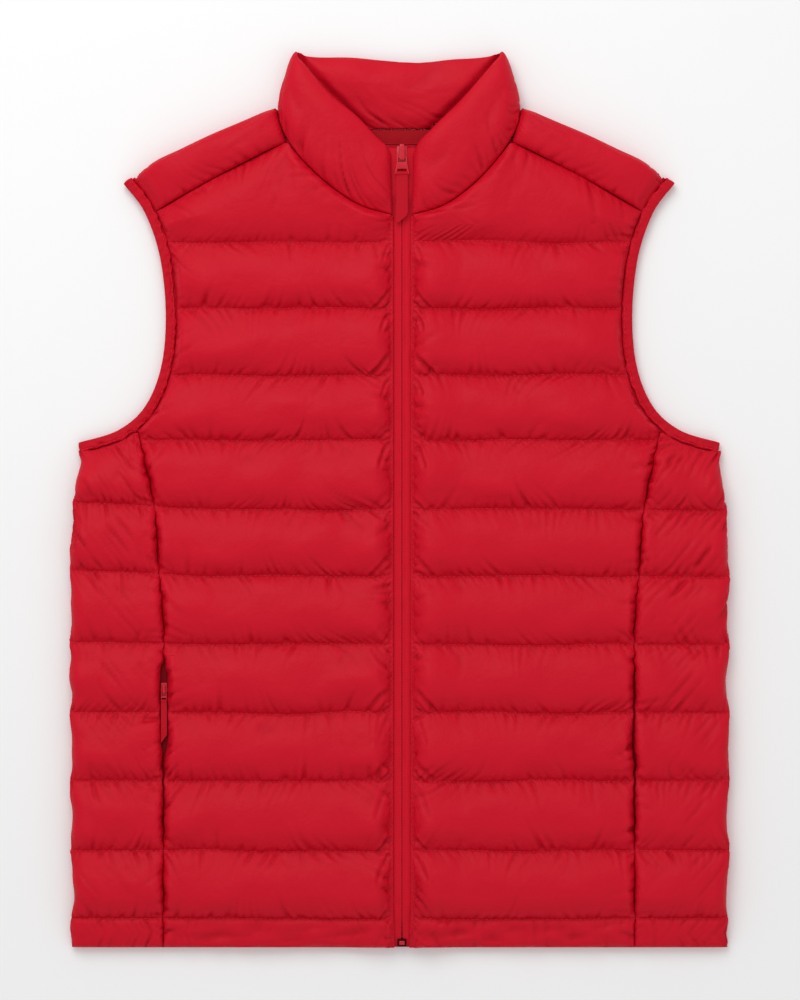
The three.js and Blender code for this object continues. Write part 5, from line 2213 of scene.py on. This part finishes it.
@dataclass(frozen=True)
class Nylon:
    """A thin calendered nylon shell cloth: smooth, faintly satin, with a close plain weave. Its colour has
    painted shade in the folds' hollows and painted highlight on their crests.
    """

    name: str = "red_nylon_shell"
    # The crest colour is painted highlight on the folds' crests, and the darkest colour below is painted
    # shade in their hollows, also used for random darker patches.
    crest: Colour = (0.620, 0.0050, 0.0210, 1)
    plain: Colour = (0.570, 0.0040, 0.0180, 1)
    painted_shade_and_patch_colour: Colour = (0.360, 0.0010, 0.0060, 1)
    thread: float = 0.00045
    crinkle: float = 0.45

    def made(self) -> bpy.types.Material:
        """The finish as a material."""
        graph = Graph(self.name)
        place = graph.place()
        fold = graph.term("ShaderNodeAttribute", {"attribute_name": "fold"}, {}, "Fac")
        cloudy = graph.noise(place, 26.0, 3.0)
        patchy = graph.noise(place, 190.0, 2.0)
        # Painted shade: darker in the folds' hollows, from the fold attribute, plus random darker patches.
        deep = (fold * 0.34 + (patchy - 0.5) * 0.14).clamped()
        # Painted highlight: lighter on the folds' crests, from the fold attribute, plus random cloudy
        # tone.
        raised = (0.5 - fold * 0.4 + (cloudy - 0.5) * 0.7).clamped()
        colour = graph.blend(deep, graph.blend(raised, self.plain, self.crest), self.painted_shade_and_patch_colour)
        u, v, _ = graph.apart(graph.lie())
        pace = 2 * math.pi / self.thread
        weave = (u * pace).sine() * (v * pace).sine()
        weft = graph.noise(place, 420.0, 2.0)
        soft = graph.noise(place, 75.0, 3.0, 0.55)
        crumple = graph.bump(soft, self.crinkle, 0.0022)
        near = graph.term("ShaderNodeAttribute", {"attribute_name": "near"}, {}, "Fac")
        slanted = graph.term("ShaderNodeCombineXYZ", {}, {"X": u + v * 0.5, "Y": v * 0.35, "Z": 0.0})
        taken_up = (graph.noise(slanted, 330.0, 2.0) - 0.5) * (1.0 - near * 110.0).clamped()
        fine = graph.bump(weft, 0.12, 0.0008, graph.bump(taken_up, 0.55, 0.0022, crumple))
        normal = graph.bump(weave, 0.06, 0.00012, fine)
        roughness = 0.50 + (cloudy - 0.5) * 0.16 + (patchy - 0.5) * 0.08
        return graph.finish({
            "Base Color": colour,
            "Roughness": roughness,
            "Normal": normal,
            "Specular IOR Level": 0.11,
        })


@dataclass(frozen=True)
class Woven:
    """A woven tape or binding: ribbed across, matte, a shade darker than the shell."""

    name: str
    light: Colour
    dark: Colour
    rib: float
    depth: float = 0.25
    roughness: float = 0.66

    def made(self) -> bpy.types.Material:
        """The finish as a material."""
        graph = Graph(self.name)
        place = graph.place()
        u, v, _ = graph.apart(graph.lie())
        ribs = (v * (2 * math.pi / self.rib)).sine()
        twill = ((u + v) * (4 * math.pi / self.rib)).sine()
        worn = graph.noise(place, 120.0, 3.0)
        colour = graph.blend((0.35 + ribs * 0.18 + (worn - 0.5) * 0.9).clamped(), self.dark, self.light)
        soft = graph.bump(graph.noise(place, 230.0, 2.0), 0.25, 0.0006)
        normal = graph.bump(ribs + twill * 0.4, self.depth, 0.00018, soft)
        return graph.finish({
            "Base Color": colour,
            "Roughness": self.roughness + (worn - 0.5) * 0.18,
            "Normal": normal,
            "Specular IOR Level": 0.12,
        })


@dataclass(frozen=True)
class Enamel:
    """Baked red enamel on a die-cast or pressed metal part."""

    name: str = "red_enamelled_metal"
    colour: Colour = (0.70, 0.008, 0.028, 1)
    thin: Colour = (0.54, 0.005, 0.020, 1)
    gloss: float = 0.30

    def made(self) -> bpy.types.Material:
        """The finish as a material."""
        graph = Graph(self.name)
        place = graph.place()
        spotty = graph.noise(place, 900.0, 3.0)
        broad = graph.noise(place, 160.0, 2.0)
        colour = graph.blend(((spotty - 0.35) * 1.6).clamped(), self.thin, self.colour)
        peel = graph.bump(spotty, 0.08, 0.00025)
        return graph.finish({
            "Base Color": colour,
            "Roughness": 0.28 + (broad - 0.4) * 0.22,
            "Normal": graph.bump(broad, 0.10, 0.0005, peel),
            "Specular IOR Level": self.gloss,
            "Coat Weight": self.gloss / 3,
            "Coat Roughness": 0.22,
        })


@dataclass(frozen=True)
class Thread:
    """Spun polyester sewing thread, with its twist, or the smooth filament of a zip's coil."""

    name: str
    colour: Colour
    shade: Colour
    twist: float
    roughness: float

    def made(self) -> bpy.types.Material:
        """The finish as a material."""
        graph = Graph(self.name)
        place = graph.place()
        x, y, z = graph.apart(place)
        strands = ((x + y * 0.7 + z) * (2 * math.pi / self.twist)).sine()
        fuzz = graph.noise(place, 1500.0, 2.0)
        colour = graph.blend((strands * 0.3 + fuzz).clamped(), self.shade, self.colour)
        return graph.finish({
            "Base Color": colour,
            "Roughness": self.roughness + (fuzz - 0.5) * 0.2,
            "Normal": graph.bump(strands, 0.3, 0.00006),
            "Specular IOR Level": 0.15,
        })


class Wardrobe:
    """Every finish of the garment, made once."""

    def __init__(self) -> None:
        """Makes the materials."""
        self.shell = Nylon().made()
        self.binding = Woven(
            "red_binding", light=(0.62, 0.0045, 0.019, 1), dark=(0.54, 0.0035, 0.016, 1), rib=0.0009
        ).made()
        # Painted light: the zip tape is lighter than the shell to make up for the shade in its recess.
        self.tape = Woven(
            "red_zip_tape_painted_light", light=(0.72, 0.006, 0.024, 1), dark=(0.60, 0.0045, 0.019, 1), rib=0.0013
        ).made()
        # Painted shade: a darker copy of the tape finish for the neck tape, which lies in shade inside the
        # collar.
        self.painted_shade_neck_tape = Woven(
            "red_neck_tape_painted_shade", light=(0.46, 0.0025, 0.012, 1), dark=(0.32, 0.0012, 0.007, 1), rib=0.0013
        ).made()
        # Painted shade: a near-black copy of the tape finish for the pocket's zip tapes, deep in the shade
        # of their slit.
        self.painted_shade_pocket_tape = Woven(
            "red_pocket_tape_painted_shade", light=(0.22, 0.001, 0.005, 1), dark=(0.14, 0.0006, 0.003, 1), rib=0.0013
        ).made()
        self.strip = Woven(
            "red_pull_strip", light=(0.56, 0.0045, 0.018, 1), dark=(0.50, 0.0035, 0.015, 1), rib=0.0011
        ).made()
        self.enamel = Enamel().made()
        # Painted shade: a near-black copy of the enamel for the zip's foot, for the shade round its
        # lighter face.
        self.dark = Enamel(
            "red_enamel_painted_shade", colour=(0.045, 0.001, 0.002, 1), thin=(0.03, 0.001, 0.001, 1), gloss=0.05
        ).made()
        # Painted highlight: the thread is far lighter than the shell, so that the stitched lines show
        # light in their grooves.
        self.thread = Thread(
            "red_thread_painted_highlight", (0.96, 0.016, 0.045, 1), (0.84, 0.010, 0.032, 1), twist=0.0005, roughness=0.6
        ).made()
        self.filament = Thread(
            "red_coil", (0.52, 0.012, 0.026, 1), (0.40, 0.008, 0.018, 1), twist=0.004, roughness=0.35
        ).made()


def dress(obj: Piece, finish: bpy.types.Material, slot: Slot, body: str, *nodes: str) -> None:
    """Gives a piece its finish, its body and the nodes that it stands for.

    Args:
        obj: the piece.
        finish: its material.
        slot: the record's material slot; not used.
        body: the body that it moves with.
        nodes: the nodes that it replaces.
    """
    obj.data.materials.clear()
    obj.data.materials.append(finish)
    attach(obj, body)
    if nodes:
        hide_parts(*nodes)
    LOG.info("%s: %d faces, rides on %s", obj.name, len(obj.data.polygons), body)


# ---- the studio ----


@dataclass(frozen=True)
class Studio:
    """A pale floor, soft light from the collar's end, and a camera that looks straight down."""

    floor_half: float = 3.0
    floor_drop: float = 0.0004
    view_height: float = 0.852
    view_level: float = 0.012
    lens: float = 150.0
    sensor: float = 36.0
    aim: tuple[float, float] = (0.00085, -0.0004)
    key_power: float = 20.8
    key_size: float = 1.5
    key_at: tuple[float, float, float] = (-0.5, 1.35, 1.7)
    fill_power: float = 7.0
    world: float = 0.60

    def floor(self) -> None:
        """The surface that the jacket lies on."""
        deselect()
        bpy.ops.mesh.primitive_plane_add(size=2 * self.floor_half, location=(0, 0, -self.floor_drop))
        plane = bpy.context.object
        plane.name = "floor"
        graph = Graph("pale_floor")
        cloudy = graph.noise(graph.place(), 3.0, 2.0)
        plane.data.materials.append(graph.finish({
            "Base Color": graph.blend(cloudy, (0.965, 0.965, 0.965, 1), (0.985, 0.985, 0.985, 1)),
            "Roughness": 0.8,
        }))

    def lamp(self, name: str, power: float, size: float, at: tuple[float, float, float]) -> None:
        """A soft square lamp aimed at the jacket.

        Args:
            name: the lamp's name.
            power: its power in watts.
            size: the length of its side.
            at: where it stands.
        """
        data = bpy.data.lights.new(name, "AREA")
        data.energy = power
        data.size = size
        lamp = bpy.data.objects.new(name, data)
        bpy.context.scene.collection.objects.link(lamp)
        lamp.location = at
        lamp.rotation_euler = (-Vector(at)).to_track_quat("-Z", "Y").to_euler()

    def light(self) -> None:
        """A key from beyond the collar, a fill from the hem and a bright room."""
        x, y, z = self.key_at
        self.lamp("key_light", self.key_power, self.key_size, self.key_at)
        self.lamp("fill_light", self.fill_power, 2 * self.key_size, (-2 * x, -y, 1.5 * z))
        world = bpy.data.worlds.new("bright_room")
        world.use_nodes = True
        world.node_tree.nodes["Background"].inputs["Color"].default_value = (1, 1, 1, 1)
        world.node_tree.nodes["Background"].inputs["Strength"].default_value = self.world
        bpy.context.scene.world = world
        bpy.context.scene.view_settings.view_transform = "Standard"

    def camera(self) -> None:
        """A long lens over the middle of the jacket."""
        data = bpy.data.cameras.new("camera")
        data.lens = self.lens
        data.sensor_width = self.sensor
        away = self.view_height / 2 * self.lens / (self.sensor / 2)
        data.clip_end = 4 * away
        camera = bpy.data.objects.new("camera", data)
        camera.location = (*self.aim, self.view_level + away)
        bpy.context.scene.collection.objects.link(camera)
        bpy.context.scene.camera = camera

    def build(self) -> None:
        """Makes the floor, the lights and the camera."""
        self.floor()
        self.light()
        self.camera()


# ---- the whole garment ----


class Workroom:
    """Sews the pieces, dresses them and keeps their stitches."""

    FOOT_FACE: ClassVar[tuple[Size, Size]] = ((0.2, -379.6, 10.3), (4.8, -376.2, 11.0))
    TACKS: ClassVar[tuple[float, float]] = (0.0, 1.5)
    TACK_X: ClassVar[tuple[float, float]] = (190.0, 199.0)
    TACK_RISE: ClassVar[float] = 0.15
    EDGE_SINK: ClassVar[float] = 0.12

    def __init__(self) -> None:
        """Starts with every finish and no stitches."""
        self.finishes = Wardrobe()
        self.seams = {side: Stitching(f"stitches_{side.word}") for side in Side}
        self.back_seams = Stitching("stitches_back")

    def padded(self, name: str, skin: Skin, filling: Filling, side: Side) -> Skin:
        full = filling.push(skin)
        piece = full.closed(f"{name}_cloth", side)
        dress(piece, self.finishes.shell, Slot.SHELL, GARMENT, name)
        return full

    def panels(self, side: Side) -> None:
        """The front, side and shoulder of one half, with their stitches."""
        seams = self.seams[side]
        panel = FrontPanel()
        front = self.padded(f"front_{side.word}", panel.skin(side), panel.filling, side)
        seams.rows_of(front, side, panel.facing_columns + 1)
        edge = front.outer[2:-2, panel.facing_columns]
        seams.run(edge, upwards(len(edge)), side, self.EDGE_SINK)
        low, high = self.TACK_X
        middle_y = front.outer[:, front.outer.shape[1] * 2 // 5, 1]
        for offset in self.TACKS:
            row = front.outer[np.argmin(np.abs(middle_y - CUT.pocket_top - self.TACKS[1] + offset))]
            tack = row[(row[:, 0] > low) & (row[:, 0] < high)] + np.array([0, offset, self.TACK_RISE])
            seams.run(tack, upwards(len(tack)), side)
        panel = SidePanel()
        flank = self.padded(f"side_{side.word}", panel.skin(side), panel.filling, side)
        seams.rows_of(flank, side)
        panel = ShoulderPanel()
        self.padded(f"shoulder_{side.word}", panel.skin(), panel.filling, side)

    def trims(self, side: Side) -> None:
        """The binding and tapes of one half."""
        binding = Binding()
        piece = binding.build(side)
        dress(piece, self.finishes.binding, Slot.BINDING, GARMENT, f"armhole_binding_{side.word}")
        binding.sew(self.seams[side], side)
        piece = FrontZip().tape(side)
        dress(piece, self.finishes.tape, Slot.TAPE, GARMENT, f"zip_tape_{side.word}")
        piece = PocketTape().build(side)
        dress(piece, self.finishes.painted_shade_pocket_tape, Slot.TAPE, GARMENT, f"pocket_zip_{side.word}")

    def whole_pieces(self) -> None:
        """The back, the collar and the neck tape, which cross the middle line."""
        panel = BackPanel()
        back = self.padded("back", panel.skin(), panel.filling, Side.LEFT)
        self.back_seams.rows_of(back, Side.LEFT)
        panel = Collar()
        self.padded("collar", panel.skin(), panel.filling, Side.LEFT)
        dress(NeckTape().build(), self.finishes.painted_shade_neck_tape, Slot.BINDING, GARMENT, "neck_tape")

    def hardware(self) -> None:
        """The coil, the foot clip and both pullers."""
        enamel, strip = self.finishes.enamel, self.finishes.strip
        dress(FrontZip().coil(), self.finishes.filament, Slot.COIL, GARMENT, "zip_coil")
        foot = Bench("zip_foot_metal").copied("zip_foot").rounded(0.45)
        # The foot's near-black enamel is painted shade round its face.
        dress(foot.obj, self.finishes.dark, Slot.METAL, GARMENT, "zip_foot")
        face = Bench("zip_foot_face").block(*self.FOOT_FACE).rounded(0.4)
        dress(face.obj, enamel, Slot.METAL, GARMENT)
        for puller, body, ending in ((FRONT_PULLER, ZIP_PULL, ""), (POCKET_PULLER, POCKET_PULL, "_right")):
            start = puller.name
            dress(puller.slider(), enamel, Slot.METAL, GARMENT, f"{start}_slider{ending}")
            dress(puller.pull_tab(), enamel, Slot.METAL, body, f"{start}_pull_tab{ending}")
            dress(puller.pull_strip(), strip, Slot.TAPE, body, f"{start}_pull_strip{ending}")

    def sewing(self) -> None:
        """The stitches, as joined meshes."""
        for seams in (*self.seams.values(), self.back_seams):
            dress(seams.built(), self.finishes.thread, Slot.SHELL, GARMENT)


def main() -> None:
    """Builds the jacket piece by piece and lays it in the studio."""
    room = Workroom()
    for side in Side:
        room.panels(side)
        room.trims(side)
    room.whole_pieces()
    room.hardware()
    room.sewing()
    Studio().build()


if __name__ == "__main__":
    logging.basicConfig(level=logging.INFO, format="%(name)s: %(message)s")
    main()
